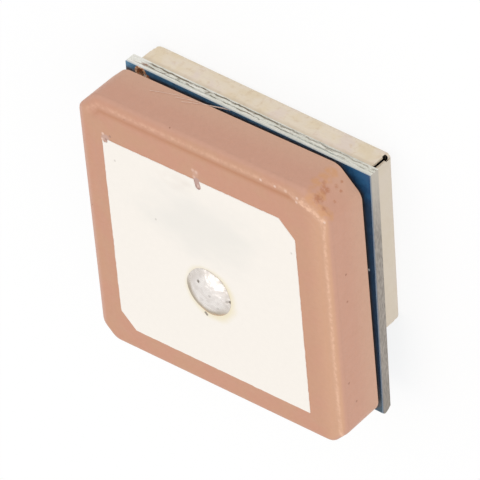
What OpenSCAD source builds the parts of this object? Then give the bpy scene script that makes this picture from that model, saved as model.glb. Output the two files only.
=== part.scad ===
// GPS receiver module: a ceramic patch antenna taped to a small circuit board, with a folded shield can behind.
// It lies on the can's back, antenna up. Seen from the front, X runs to the right and Y to the top,
// and the connector sits behind the bottom edge. The origin is the board's centre, on the can's back.

/* [Antenna block] */
// Side of the square ceramic block
ceramic_side = 25; // [23:0.1:30]
// Thickness of the ceramic block
ceramic_t = 4; // [2:0.1:6]
// Width of the rounded rim on the block's front face
rim_run = 0.85; // [0.3:0.05:0.95]
// Depth of the rounded rim down the block's sides
rim_drop = 0.45; // [0.2:0.05:1]
// Leg of the corner cut at the top right
cut_top_right = 2.1; // [1:0.05:4]
// Leg of the corner cut at the top left
cut_top_left = 1.75; // [1:0.05:4]
// Leg of the corner cut at the bottom left
cut_bottom_left = 1.25; // [1:0.05:4]
// Leg of the corner cut at the bottom right
cut_bottom_right = 1.7; // [1:0.05:4]
// Radius that blends each corner cut into the sides
corner_blend = 1.2; // [1:0.1:1.6]
// Shift of the antenna to the right of the board's centre
antenna_shift_x = -0.44; // [-1:0.01:1]
// Shift of the antenna above the board's centre
antenna_shift_y = -0.22; // [-1:0.01:1]
// Turn of the antenna on the board, in degrees
antenna_turn = 1.47; // [-3:0.01:3]

/* [Electrodes] */
// Width of the radiating electrode
electrode_w = 19.1; // [14:0.1:21]
// Height of the radiating electrode
electrode_h = 18.9; // [14:0.1:21]
// Shift of the electrode to the right of the block's centre
electrode_shift_x = -0.63; // [-1:0.01:1]
// Shift of the electrode above the block's centre
electrode_shift_y = -0.9; // [-1.2:0.01:1.2]
// Thickness of the fired silver
silver_t = 0.04; // [0.02:0.01:0.1]
// Leg of the electrode's cut at the top right
electrode_cut_top_right = 1.5; // [0.5:0.05:3]
// Leg of the electrode's cut at the bottom left
electrode_cut_bottom_left = 1.4; // [0.5:0.05:3]
// Width of the tuning slot ground into the electrode's top edge
slot_w = 0.55; // [0.3:0.05:1]
// Length of the tuning slot
slot_l = 0.85; // [0.5:0.05:3]
// Distance of the tuning slot from the electrode's centre line
slot_x = -0.06; // [-3:0.01:3]
// Lean of the tuning slot, in degrees
slot_lean = 12; // [-20:1:20]
// Radius of the nick at the electrode's top left corner
nick_r = 0.32; // [0.1:0.01:0.6]
// Distance of the nick from the electrode's left edge
nick_x = 0.4; // [0:0.05:2]
// Bare margin round the ground electrode on the block's back
ground_margin = 0.3; // [0.1:0.05:1]
// Radius of the bare ring round the feed hole in the ground electrode
ground_ring_r = 1.8; // [1.2:0.1:3]

/* [Feed] */
// Place of the feed pin across the block, from its centre
feed_x = -0.48; // [-3:0.01:3]
// Place of the feed pin up the block, from its centre
feed_y = -2.5; // [-4:0.01:4]
// Diameter of the feed pin
pin_d = 1; // [0.6:0.05:1.4]
// Diameter of the pin's head
pin_head_d = 2.2; // [1.7:0.1:2.8]
// Thickness of the pin's head
pin_head_t = 0.22; // [0.1:0.01:0.25]
// Length of pin beyond the board's rear face
pin_tail = 0.8; // [0.7:0.05:1.2]
// Clearance round the pin in the block, the pad and the board
pin_clear = 0.1; // [0.05:0.01:0.3]
// Diameter of the solder dome over the pin's head
dome_d = 4.4; // [3.6:0.1:6]
// Height of the solder dome
dome_h = 0.45; // [0.4:0.01:1]
// Radius of the solder joint on the board's rear face
rear_joint_r = 1.1; // [0.9:0.05:1.3]
// Thickness of solder left at the top of the rear joint
rear_joint_lip = 0.1; // [0.05:0.01:0.15]

/* [Adhesive pad] */
// Thickness of the foam pad
pad_t = 0.66; // [0.3:0.02:1.5]
// Distance of the pad's edge inside the block's side
pad_inset = 1.5; // [0.8:0.1:3]
// Clearance between the pad and the bare copper round the plated hole
pad_clear = 0.2; // [0.1:0.05:0.35]

/* [Board] */
// Width of the board
board_w = 24.2; // [22:0.1:30]
// Height of the board
board_h = 24.2; // [22:0.1:30]
// Thickness of the board
board_t = 1; // [0.6:0.1:2]
// Rounding of the board's corners
board_corner_r = 0.25; // [0.1:0.05:1]
// Depth of the panel score on each face, along the top and bottom edges
score_depth = 0.28; // [0.1:0.01:0.29]
// Slope of the score, measured along the face
score_run = 0.05; // [0.04:0.01:0.2]
// How far the snapped land stands out below the bottom edge
lip_out = 0.25; // [0.1:0.05:0.4]
// Thickness of that land
lip_t = 0.2; // [0.1:0.01:0.25]
// Slope of the rear score above that land, measured along the face
lip_rear_run = 0.45; // [0.4:0.05:0.6]
// Radius of the plated hole near the top left corner
hole_r = 0.36; // [0.25:0.01:0.5]
// Thickness of the hole's copper lining
plating_t = 0.05; // [0.04:0.01:0.1]
// Distance of the hole from the board's left edge
hole_from_left = 1.5; // [1.2:0.05:4]
// Board left between the hole's lining and the top edge
hole_edge_web = 0.085; // [0.055:0.01:0.295]
// Width of the bare copper ring round the hole
ring_w = 0.14; // [0.08:0.01:0.3]
// Thickness of the copper on the board's face
copper_t = 0.035; // [0.02:0.005:0.07]
// Length of bare track that leaves the ring
track_l = 0.95; // [0.7:0.05:2]
// Width of the bare track
track_w = 0.3; // [0.15:0.05:0.5]

/* [Shield can] */
// Height of the can
can_h = 2.3; // [2:0.1:4]
// Thickness of the sheet
sheet_t = 0.2; // [0.15:0.01:0.3]
// Outside radius of the folds
fold_r = 0.55; // [0.4:0.05:0.8]
// Distance of the can inside the board's left edge
can_inset_left = 0.52; // [0.5:0.01:2]
// Distance of the can inside the board's right edge
can_inset_right = 0.37; // [0:0.01:2]
// Distance of the can inside the board's top edge
can_inset_top = 0.12; // [0.06:0.01:0.5]
// Clearance between the rear feed joint and the can's bottom wall
feed_wall_gap = 0.64; // [0.2:0.01:1]
// Set-back of each wall's end from the next wall's inner face
corner_gap = 0.11; // [0.05:0.01:0.3]
// Radius of the relief hole where two folds meet
relief_r = 0.27; // [0.26:0.01:0.4]
// Distance of the relief hole's centre from each wall's outer face
relief_in = 0.23; // [0.22:0.01:0.25]
// Height of the relief hole up the slit corner, from the can's back
relief_h = 0.9; // [0.6:0.05:1.2]
// Leg of the solder tacks along the can's walls
tack_leg = 0.45; // [0.2:0.05:0.5]
// Length of each solder tack
tack_l = 2; // [1:0.1:3]
// Distance between the solder tacks
tack_spacing = 7; // [4:0.1:8]

/* [Receiver parts] */
// Side of the receiver chip
chip_side = 5; // [4:0.1:6]
// Height of the receiver chip
chip_h = 0.85; // [0.6:0.05:1.2]
// Leads along each side of the receiver chip
chip_leads = 10; // [6:1:12]
// Pitch of the chip's leads
chip_pitch = 0.4; // [0.3:0.05:0.4]
// Distance from the can's right wall to the receiver chip
chip_from_right = 2.7; // [2:0.1:4]
// Distance from the can's top wall to the receiver chip
chip_from_top = 3.5; // [3:0.1:4]
// Clear margin between the can's walls and the parts beside them
wall_margin = 1; // [0.5:0.1:1.5]
// Diameter of the backup cell
cell_d = 4.8; // [4:0.1:5.4]
// Height of the backup cell
cell_h = 1.4; // [1:0.1:1.45]
// Thickness of the cell's tabs
tab_t = 0.1; // [0.06:0.01:0.15]
// Width of the cell's tabs
tab_w = 1.2; // [0.8:0.1:2]
// Length of a small chip passive
passive_l = 1; // [0.6:0.1:1.2]
// Width and height of a small chip passive
passive_w = 0.5; // [0.3:0.05:0.6]

/* [Connector] */
// Number of contacts
contact_count = 6; // [2:1:10]
// Pitch of the contacts
contact_pitch = 1; // [0.8:0.05:1.25]
// Height of the connector above the board
connector_h = 2; // [1.8:0.1:2.2]
// Depth of the connector from its mouth to its back
connector_d = 4.4; // [3.8:0.1:5]
// Thickness of the housing's side walls
connector_wall = 1; // [0.7:0.1:1.5]
// Thickness of the housing's back wall
connector_back = 1; // [0.6:0.1:1.5]
// Distance of the mouth inside the board's bottom edge
mouth_inset = 0.2; // [0:0.05:1]
// Height of the mating cavity
cavity_h = 1.1; // [0.9:0.05:1.2]
// Thickness of the housing's floor, against the board
connector_floor = 0.5; // [0.4:0.05:0.6]
// Width of a contact
contact_w = 0.26; // [0.2:0.02:0.4]
// Thickness of a contact
contact_t = 0.22; // [0.15:0.01:0.3]
// Clearance round each contact in the back wall
contact_clear = 0.04; // [0.02:0.01:0.1]
// Thickness of the solder lugs
lug_t = 0.2; // [0.15:0.01:0.3]

/* [Hidden] */
$fn = 64;

// A cutter reaches this far past what it cuts
over = 1;

// Heights of the stacked layers
board_z0 = can_h;
board_z1 = board_z0 + board_t;
ground_z0 = board_z1 + pad_t;
ceramic_z0 = ground_z0 + silver_t;
ceramic_z1 = ceramic_z0 + ceramic_t;
electrode_z1 = ceramic_z1 + silver_t;

// Outline of the block: a side, and the leg of the cut at each corner, at half a right angle
half_side = ceramic_side / 2;
cut_angle = 45;
corners = [[1, 1, cut_top_right], [-1, 1, cut_top_left], [-1, -1, cut_bottom_left], [1, -1, cut_bottom_right]];

// Feed pin on the board: turned and shifted with the antenna
feed_on_board = [antenna_shift_x + feed_x * cos(antenna_turn) - feed_y * sin(antenna_turn),
                 antenna_shift_y + feed_x * sin(antenna_turn) + feed_y * cos(antenna_turn)];
pin_r = pin_d / 2;
pin_hole_r = pin_r + pin_clear;
rear_joint_h = rear_joint_r - pin_r - rear_joint_lip;

// Outside of the shield can, and the inner faces of its walls
can_x0 = -board_w / 2 + can_inset_left;
can_x1 = board_w / 2 - can_inset_right;
can_y0 = feed_on_board[1] - rear_joint_r - feed_wall_gap - sheet_t;
can_y1 = board_h / 2 - can_inset_top;
can_w = can_x1 - can_x0;
can_d = can_y1 - can_y0;
wall_setback = sheet_t + corner_gap;
inner_left = can_x0 + sheet_t;
inner_right = can_x1 - sheet_t;
inner_bottom = can_y0 + sheet_t;
inner_top = can_y1 - sheet_t;

// Plated hole
barrel_r = hole_r + plating_t;
hole_from_top = barrel_r + hole_edge_web;
hole_at = [-board_w / 2 + hole_from_left, board_h / 2 - hole_from_top];
ring_r = barrel_r + ring_w;

// Package sizes of the parts under the can: length, width, height
oscillator_size = [2.5, 2, 0.8];
crystal_size = [3.2, 1.5, 0.75];
filter_size = [1.4, 1.1, 0.5];
amplifier_size = [1.5, 1, 0.5];
memory_size = [3, 2, 0.6];
regulator_size = [1.6, 2.9, 1.1];
reservoir_size = [1.6, 0.8, 0.8];
regulator_lead_span = 2.8;
regulator_lead_w = 0.4;
regulator_lead_t = 0.15;
regulator_pitch = 0.95;
part_gap = 0.6;
amplifier_leads = 3;
memory_leads = 4;
small_pitch = 0.5;

// Places of those parts, from the walls or the part that they sit beside
chip_at = [inner_right - chip_from_right - chip_side / 2, inner_top - chip_from_top - chip_side / 2];
crystal_at = [inner_right - wall_margin - crystal_size[0] / 2, inner_top - wall_margin - crystal_size[1] / 2];
oscillator_at = [inner_right - wall_margin - oscillator_size[0] / 2,
                 inner_bottom + wall_margin + oscillator_size[1] / 2];
regulator_at = [inner_left + wall_margin + regulator_lead_span / 2,
                inner_bottom + wall_margin + regulator_size[1] / 2];
memory_at = [inner_left + wall_margin + memory_size[0] / 2,
             regulator_at[1] + regulator_size[1] / 2 + part_gap + memory_size[1] / 2];
tab_foot = 0.5;
tab_gap = 0.3;
tab_reach = cell_d / 2 + tab_gap;
cell_at = [inner_left + wall_margin + tab_reach, inner_top - wall_margin - cell_d / 2];
inductor_at = [feed_on_board[0], feed_on_board[1] + rear_joint_r + part_gap / 2 + passive_l / 2];
filter_at = [feed_on_board[0], inductor_at[1] + passive_l / 2 + part_gap + filter_size[1] / 2];
amplifier_at = [feed_on_board[0], filter_at[1] + filter_size[1] / 2 + part_gap + amplifier_size[1] / 2];

// Connector: width over all, mating cavity and the level of its contacts
contact_span = (contact_count - 1) * contact_pitch;
cavity_margin = 0.8;
cavity_w = contact_span + 2 * cavity_margin;
connector_w = cavity_w + 2 * connector_wall;
cavity_top = connector_floor + cavity_h;
contact_z = connector_floor + cavity_h / 3;
contact_tail = 0.9;
mouth_at = [0, -board_h / 2 + mouth_inset];

// Places its children in the antenna's own frame at a height
module antenna_frame(z) {
    translate([antenna_shift_x, antenna_shift_y, z])
        rotate(antenna_turn)
            children();
}

// Places its children at the feed pin's axis at a height
module feed_axis(z) {
    antenna_frame(z)
        translate([feed_x, feed_y, 0])
            children();
}

// Places its children on the board's rear face, growing away from the board
module rear_face(at, turn = 0) {
    translate([at[0], at[1], board_z0])
        mirror([0, 0, 1])
            rotate(turn)
                children();
}

// Box centred on its place, standing on the plane below it
module block(size) {
    translate([-size[0] / 2, -size[1] / 2, 0])
        cube(size);
}

// Post at one end of a corner cut, rounded at its front rim
module corner_post() {
    rotate_extrude($fn = 48)
        intersection() {
            square([corner_blend, ceramic_t]);
            union() {
                square([corner_blend - rim_run, ceramic_t]);
                square([corner_blend, ceramic_t - rim_drop]);
                translate([corner_blend - rim_run, ceramic_t - rim_drop])
                    scale([rim_run, rim_drop])
                        circle(1);
            }
        }
}

// Pressed and fired dielectric block with its feed hole
module ceramic_block() {
    color([0.80, 0.62, 0.52])
        difference() {
            antenna_frame(ceramic_z0)
                hull()
                    for (c = corners) {
                        along = c[2] + corner_blend * tan(cut_angle / 2);
                        translate([c[0] * (half_side - corner_blend), c[1] * (half_side - along), 0])
                            corner_post();
                        translate([c[0] * (half_side - along), c[1] * (half_side - corner_blend), 0])
                            corner_post();
                    }
            feed_axis(ceramic_z0 - over)
                cylinder(r = pin_hole_r, h = ceramic_t + 2 * over);
        }
}

// Silver on the front: two corners cut for circular polarisation, a slot and a nick ground in to tune it
module radiating_electrode() {
    w = electrode_w / 2;
    h = electrode_h / 2;
    high = electrode_cut_top_right;
    low = electrode_cut_bottom_left;
    color([0.96, 0.94, 0.91])
        difference() {
            antenna_frame(ceramic_z1)
                translate([electrode_shift_x, electrode_shift_y, 0])
                    linear_extrude(silver_t)
                        difference() {
                            polygon([[-w, low - h], [low - w, -h], [w, -h], [w, h - high], [w - high, h], [-w, h]]);
                            translate([slot_x, h])
                                rotate(slot_lean)
                                    tuning_slot();
                            translate([nick_x - w, h])
                                circle(nick_r);
                        }
            feed_axis(ceramic_z1 - over)
                cylinder(r = pin_hole_r, h = silver_t + 2 * over);
        }
}

// Outline of the tuning slot, hanging from the electrode's edge, with a round end
module tuning_slot() {
    translate([-slot_w / 2, slot_w / 2 - slot_l])
        square([slot_w, slot_l]);
    translate([0, slot_w / 2 - slot_l])
        circle(slot_w / 2);
}

// Silver over the block's back face, bare round the feed hole
module ground_electrode() {
    side = half_side - ground_margin;
    color([0.85, 0.84, 0.80])
        difference() {
            antenna_frame(ground_z0)
                linear_extrude(silver_t)
                    polygon([[side, side - cut_top_right], [side - cut_top_right, side],
                             [cut_top_left - side, side], [-side, side - cut_top_left],
                             [-side, cut_bottom_left - side], [cut_bottom_left - side, -side],
                             [side - cut_bottom_right, -side], [side, cut_bottom_right - side]]);
            feed_axis(ground_z0 - over)
                cylinder(r = ground_ring_r, h = silver_t + 2 * over);
        }
}

// Headed pin from the front electrode to behind the board
module feed_pin() {
    tail_z = board_z0 - pin_tail;
    color([0.80, 0.72, 0.50])
        union() {
            feed_axis(tail_z)
                cylinder(r = pin_r, h = electrode_z1 + pin_head_t - tail_z);
            feed_axis(electrode_z1)
                cylinder(d = pin_head_d, h = pin_head_t);
        }
}

// Low solder dome that wets the electrode and covers the pin's head
module front_solder() {
    dome_r = (dome_d * dome_d / 4 + dome_h * dome_h) / (2 * dome_h);
    color([0.78, 0.77, 0.74])
        feed_axis(electrode_z1)
            rotate_extrude()
                difference() {
                    intersection() {
                        translate([0, dome_h - dome_r])
                            circle(dome_r, $fn = 256);
                        square([dome_d / 2, dome_h]);
                    }
                    square([pin_head_d / 2, pin_head_t]);
                }
}

// Foam pad, sticky on both sides, with a hole for the pin, clear of the bare copper
module adhesive_pad() {
    side = ceramic_side - 2 * pad_inset;
    color([0.13, 0.13, 0.14])
        difference() {
            antenna_frame(board_z1)
                block([side, side, pad_t]);
            feed_axis(board_z1 - over)
                cylinder(r = ground_ring_r, h = pad_t + 2 * over);
            translate([hole_at[0], hole_at[1], board_z1 - over])
                linear_extrude(pad_t + 2 * over)
                    bare_copper(pad_clear);
        }
}

// Square with round corners, centred
module round_square(w, h, r) {
    square([w - 2 * r, h], center = true);
    square([w, h - 2 * r], center = true);
    for (sx = [-1, 1], sy = [-1, 1])
        translate([sx * (w / 2 - r), sy * (h / 2 - r)])
            circle(r);
}

// Board before drilling: snapped from its panel along scores, so that a lip is left below the bottom edge
module board_blank() {
    difference() {
        translate([0, -lip_out / 2, board_z0])
            linear_extrude(board_t)
                round_square(board_w, board_h + lip_out, board_corner_r);
        score(board_h / 2, 0, score_run, score_depth);
        score(board_h / 2, 1, score_run, score_depth);
        rotate(180) {
            score(board_h / 2 + lip_out, 0, score_run + lip_out, score_depth);
            score(board_h / 2 + lip_out, 1, lip_rear_run, board_t - score_depth - lip_t);
        }
    }
}

// What one score takes off an edge at a distance from the middle, on the front or, flipped, on the rear
module score(reach, flip, run, depth) {
    translate([0, 0, board_z0 + board_t / 2])
        mirror([0, 0, flip])
            translate([-board_w / 2 - over, reach, board_t / 2])
                rotate([90, 0, 90])
                    linear_extrude(board_w + 2 * over)
                        polygon([[-run, 0], [-run, over], [over, over], [over, -depth * (1 + over / run)]]);
}

// Glass-fibre board with its feed hole and its plated hole
module circuit_board() {
    color([0.13, 0.26, 0.42])
        difference() {
            board_blank();
            feed_axis(board_z0 - over)
                cylinder(r = pin_hole_r, h = board_t + 2 * over);
            translate([hole_at[0], hole_at[1], board_z0 - over])
                cylinder(r = barrel_r, h = board_t + 2 * over);
        }
}

// Outline of the copper ring and its track on the board's face, grown by a clearance
module bare_copper(clear) {
    circle(ring_r + clear);
    translate([0, -ring_r - clear])
        square([track_l + clear, track_w + 2 * clear]);
}

// Copper that lines the hole and rings it on the front, where a bare track leaves it
module plated_hole() {
    color([0.62, 0.36, 0.20]) {
        difference() {
            union() {
                intersection() {
                    board_blank();
                    translate([hole_at[0], hole_at[1], board_z0])
                        cylinder(r = barrel_r, h = board_t);
                }
                translate([hole_at[0], hole_at[1], board_z1])
                    linear_extrude(copper_t)
                        intersection() {
                            bare_copper(0);
                            translate([-ring_r, -ring_r])
                                square([ring_r + track_l, ring_r + hole_from_top - score_run]);
                        }
            }
            translate([hole_at[0], hole_at[1], board_z0 - over])
                cylinder(r = hole_r, h = board_t + 2 * over);
        }
    }
}

// Hollow-sided solder joint round the pin behind the board
module rear_solder() {
    color([0.78, 0.78, 0.76])
        rear_face(feed_on_board)
            rotate_extrude()
                difference() {
                    translate([pin_r, 0])
                        square([rear_joint_r - pin_r, rear_joint_h]);
                    translate([rear_joint_r, rear_joint_h])
                        circle(rear_joint_h);
                }
}

// Rectangle whose two lower corners are round
module tray_section(w, h, r) {
    translate([r, 0])
        square([w - 2 * r, h]);
    translate([0, r])
        square([w, h - r]);
    for (x = [r, w - r])
        translate([x, r])
            circle(r);
}

// Section of the sheet across two opposite walls: a flat back and two folds
module folded_section(span) {
    difference() {
        tray_section(span, can_h, fold_r);
        translate([sheet_t, sheet_t])
            tray_section(span - 2 * sheet_t, can_h, fold_r - sheet_t);
    }
}

// One stamped sheet folded on four sides: slit corners, and a relief hole where two folds meet
module shield_can() {
    color([0.80, 0.77, 0.71])
        difference() {
            union() {
                translate([can_x0, can_y1 - wall_setback, 0])
                    rotate([90, 0, 0])
                        linear_extrude(can_d - 2 * wall_setback)
                            folded_section(can_w);
                translate([can_x0 + wall_setback, can_y0, 0])
                    rotate([90, 0, 90])
                        linear_extrude(can_w - 2 * wall_setback)
                            folded_section(can_d);
            }
            for (x = [can_x0 + relief_in, can_x1 - relief_in], y = [can_y0 + relief_in, can_y1 - relief_in])
                translate([x, y, -over])
                    cylinder(r = relief_r, h = relief_h + over);
        }
}

// Hollow-sided tack in the corner between a wall and the board
module solder_tack() {
    rotate([90, 0, 90])
        translate([0, 0, -tack_l / 2])
            linear_extrude(tack_l)
                difference() {
                    square(tack_leg);
                    translate([tack_leg, tack_leg])
                        circle(tack_leg);
                }
}

// Tacks along the can's bottom and left walls
module shield_solder() {
    color([0.76, 0.76, 0.74]) {
        for (i = [-1, 0, 1])
            rear_face([(can_x0 + can_x1) / 2 + i * tack_spacing, can_y0], 180)
                solder_tack();
        for (i = [-0.5, 0.5])
            rear_face([can_x0, (can_y0 + can_y1) / 2 + i * tack_spacing], 90)
                solder_tack();
    }
}

// Leads of a leadless package along two opposite sides, just proud of the body
module side_leads(count, pitch, reach) {
    lead_w = pitch / 2;
    lead_l = 0.3;
    lead_h = 0.2;
    proud = 0.03;
    for (side = [0, 180], i = [0 : count - 1])
        rotate(side)
            translate([(i - (count - 1) / 2) * pitch - lead_w / 2, reach - lead_l, 0])
                cube([lead_w, lead_l + proud, lead_h]);
}

// Dimple that marks a package's first lead
module first_lead_mark(x, y, h) {
    mark_r = 0.2;
    mark_depth = 0.05;
    translate([x + 2 * mark_r, y + 2 * mark_r, h - mark_depth])
        cylinder(r = mark_r, h = over);
}

// Receiver chip with leads on four sides
module gnss_chip() {
    color([0.10, 0.10, 0.11])
        rear_face(chip_at)
            difference() {
                union() {
                    block([chip_side, chip_side, chip_h]);
                    for (turn = [0, 90])
                        rotate(turn)
                            side_leads(chip_leads, chip_pitch, chip_side / 2);
                }
                first_lead_mark(-chip_side / 2, -chip_side / 2, chip_h);
            }
}

// Ceramic package with a welded lid
module lidded_package(size) {
    lid_inset = 0.15;
    lid_t = 0.25;
    block([size[0], size[1], size[2] - lid_t]);
    block([size[0] - 2 * lid_inset, size[1] - 2 * lid_inset, size[2]]);
}

// Temperature-compensated oscillator
module tcxo() {
    color([0.72, 0.70, 0.62])
        rear_face(oscillator_at)
            lidded_package(oscillator_size);
}

// Watch crystal
module clock_crystal() {
    color([0.75, 0.75, 0.74])
        rear_face(crystal_at)
            lidded_package(crystal_size);
}

// Filter that passes the satellite band
module saw_filter() {
    color([0.25, 0.25, 0.26])
        rear_face(filter_at)
            difference() {
                block(filter_size);
                first_lead_mark(-filter_size[0] / 2, -filter_size[1] / 2, filter_size[2]);
            }
}

// First amplifier stage, in a small leadless package
module low_noise_amplifier() {
    color([0.12, 0.12, 0.13])
        rear_face(amplifier_at)
            difference() {
                union() {
                    block(amplifier_size);
                    side_leads(amplifier_leads, small_pitch, amplifier_size[1] / 2);
                }
                first_lead_mark(-amplifier_size[0] / 2, -amplifier_size[1] / 2, amplifier_size[2]);
            }
}

// Gull-wing lead from the package's side down to the board
module gull_lead() {
    knee = regulator_size[0] / 2;
    foot = regulator_lead_span / 2;
    rise = regulator_size[2] / 2;
    drop = (foot - knee) / 3;
    rotate([90, 0, 0])
        translate([0, 0, -regulator_lead_w / 2])
            linear_extrude(regulator_lead_w)
                polygon([[knee - drop, rise], [knee + drop, rise], [knee + drop, 0], [foot, 0],
                         [foot, regulator_lead_t], [knee + drop + regulator_lead_t, regulator_lead_t],
                         [knee + drop + regulator_lead_t, rise + regulator_lead_t],
                         [knee - drop, rise + regulator_lead_t]]);
}

// Supply regulator: three leads on one side, two on the other
module regulator() {
    standoff = 0.1;
    color([0.11, 0.11, 0.12])
        rear_face(regulator_at) {
            translate([0, 0, standoff])
                block([regulator_size[0], regulator_size[1], regulator_size[2] - standoff]);
            for (i = [-1, 0, 1])
                translate([0, i * regulator_pitch, 0])
                    gull_lead();
            for (i = [-1, 1])
                translate([0, i * regulator_pitch, 0])
                    mirror([1, 0, 0])
                        gull_lead();
        }
}

// Memory chip with leads on two sides
module flash_memory() {
    color([0.10, 0.10, 0.11])
        rear_face(memory_at)
            difference() {
                union() {
                    block(memory_size);
                    side_leads(memory_leads, small_pitch, memory_size[1] / 2);
                }
                first_lead_mark(-memory_size[0] / 2, -memory_size[1] / 2, memory_size[2]);
            }
}

// Sealed coin cell: a can with a smaller cap crimped into it
module backup_cell() {
    cap_step = 0.25;
    rim_w = 0.35;
    color([0.78, 0.78, 0.77])
        rear_face(cell_at)
            translate([0, 0, tab_t])
                rotate_extrude() {
                    square([cell_d / 2, cell_h - cap_step]);
                    square([cell_d / 2 - rim_w, cell_h]);
                }
}

// Welded tabs: one under the cell, one over it and down to the board
module cell_tabs() {
    top = tab_t + cell_h;
    outer = tab_reach + tab_foot;
    color([0.82, 0.80, 0.74])
        rear_face(cell_at) {
            translate([-tab_reach, -tab_w / 2, 0])
                cube([tab_reach, tab_w, tab_t]);
            rotate([90, 0, 0])
                translate([0, 0, -tab_w / 2])
                    linear_extrude(tab_w)
                        polygon([[0, top], [tab_reach, top], [tab_reach, 0], [outer, 0], [outer, tab_t],
                                 [tab_reach + tab_t, tab_t], [tab_reach + tab_t, top + tab_t], [0, top + tab_t]]);
        }
}

// Chip passive: a body between two plated ends
module chip_passive(size) {
    end_l = size[0] / 4;
    body_in = 0.02;
    block([size[0] - end_l, size[1] - 2 * body_in, size[2] - body_in]);
    for (side = [-1, 1])
        translate([side * (size[0] - end_l) / 2, 0, 0])
            block([end_l, size[1], size[2]]);
}

// Supply capacitors round the receiver chip, and two larger ones beside the regulator
module capacitors() {
    small = [passive_l, passive_w, passive_w];
    beside = chip_side / 2 + part_gap / 2 + passive_l / 2;
    step = chip_side / 5;
    color([0.70, 0.58, 0.44]) {
        for (i = [-2 : 2])
            rear_face([chip_at[0] - beside, chip_at[1] + i * step])
                chip_passive(small);
        for (i = [-2 : 2])
            rear_face([chip_at[0] + i * step, chip_at[1] - beside], 90)
                chip_passive(small);
        for (side = [-1, 1])
            rear_face([regulator_at[0] + regulator_lead_span / 2 + part_gap + reservoir_size[0] / 2,
                       regulator_at[1] + side * regulator_pitch])
                chip_passive(reservoir_size);
    }
}

// Series resistors of the signal lines, beside the memory chip
module resistors() {
    resistor_h = 0.35;
    color([0.12, 0.12, 0.13])
        for (i = [-1, 0, 1])
            rear_face([memory_at[0] + memory_size[0] / 2 + part_gap + passive_l / 2,
                       memory_at[1] + i * 2 * passive_w])
                chip_passive([passive_l, passive_w, resistor_h]);
}

// Matching inductors between the feed, the filter and the amplifier
module inductors() {
    small = [passive_l, passive_w, passive_w];
    beside = filter_size[0] / 2 + part_gap + passive_w / 2;
    color([0.45, 0.55, 0.60]) {
        rear_face(inductor_at, 90)
            chip_passive(small);
        rear_face([filter_at[0] + beside, filter_at[1]], 90)
            chip_passive(small);
        rear_face([amplifier_at[0] - beside, amplifier_at[1]], 90)
            chip_passive(small);
    }
}

// Side view of the mating cavity, from the mouth inwards, with a lead-in at the mouth
module cavity_section() {
    lead_in = 0.15;
    depth = connector_d - connector_back;
    polygon([[-over, connector_floor - lead_in], [0, connector_floor - lead_in], [lead_in, connector_floor],
             [depth, connector_floor], [depth, cavity_top], [lead_in, cavity_top],
             [0, cavity_top + lead_in], [-over, cavity_top + lead_in]]);
}

// Moulded side-entry housing: mating cavity, keying slots in its roof and a slot for each contact
module connector_housing() {
    key_w = 0.7;
    key_l = 2;
    slot = contact_t + 2 * contact_clear;
    color([0.90, 0.88, 0.80])
        rear_face(mouth_at)
            difference() {
                translate([-connector_w / 2, 0, 0])
                    cube([connector_w, connector_d, connector_h]);
                rotate([90, 0, 90])
                    translate([0, 0, -cavity_w / 2])
                        linear_extrude(cavity_w)
                            cavity_section();
                for (side = [-1, 1])
                    translate([side * (cavity_w / 2 - key_w) - key_w / 2, -over, cavity_top - over])
                        cube([key_w, key_l + over, connector_h + over]);
                for (i = [0 : contact_count - 1])
                    translate([contact_x(i) - contact_w / 2 - contact_clear, over, contact_z - contact_clear])
                        cube([contact_w + 2 * contact_clear, connector_d, slot]);
            }
}

// Place of one contact across the connector
function contact_x(i) = (i - (contact_count - 1) / 2) * contact_pitch;

// Stamped contacts: a blade in the cavity, a bend behind the housing and a foot on the board
module connector_contacts() {
    tip = 0.7;
    bend = connector_d + contact_clear;
    foot = connector_d + contact_tail;
    color([0.83, 0.72, 0.42])
        rear_face(mouth_at)
            for (i = [0 : contact_count - 1])
                translate([contact_x(i) - contact_w / 2, 0, 0])
                    rotate([90, 0, 90])
                        linear_extrude(contact_w)
                            polygon([[tip, contact_z], [bend, contact_z], [bend, 0], [foot, 0], [foot, contact_t],
                                     [bend + contact_t, contact_t], [bend + contact_t, contact_z + contact_t],
                                     [tip, contact_z + contact_t]]);
}

// Solder lugs against the housing's sides, each with a foot on the board
module connector_lugs() {
    lug_l = 2;
    lug_h = 1.3;
    lug_foot = 0.7;
    color([0.80, 0.79, 0.76])
        rear_face(mouth_at)
            for (side = [0, 1])
                mirror([side, 0, 0])
                    translate([connector_w / 2, (connector_d + lug_l) / 2, 0])
                        rotate([90, 0, 0])
                            linear_extrude(lug_l)
                                polygon([[0, 0], [lug_foot, 0], [lug_foot, lug_t], [lug_t, lug_t],
                                         [lug_t, lug_h], [0, lug_h]]);
}

ceramic_block();
radiating_electrode();
ground_electrode();
feed_pin();
front_solder();
adhesive_pad();
circuit_board();
plated_hole();
rear_solder();
shield_can();
shield_solder();
gnss_chip();
tcxo();
clock_crystal();
saw_filter();
low_noise_amplifier();
regulator();
flash_memory();
backup_cell();
cell_tabs();
capacitors();
resistors();
inductors();
connector_housing();
connector_contacts();
connector_lugs();
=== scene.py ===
"""Looks of a GPS receiver module: a ceramic patch antenna on a small board, with a folded shield can behind.

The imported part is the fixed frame. The pieces that show are modelled here in millimetres, in the frame of
the antenna or of the board, and are then set down in the part's own frame in metres.
"""
import logging
import math
from collections.abc import Callable
from dataclasses import dataclass
from enum import Enum
from typing import ClassVar

import bmesh
import bpy
from mathutils import Matrix, Vector, noise


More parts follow.
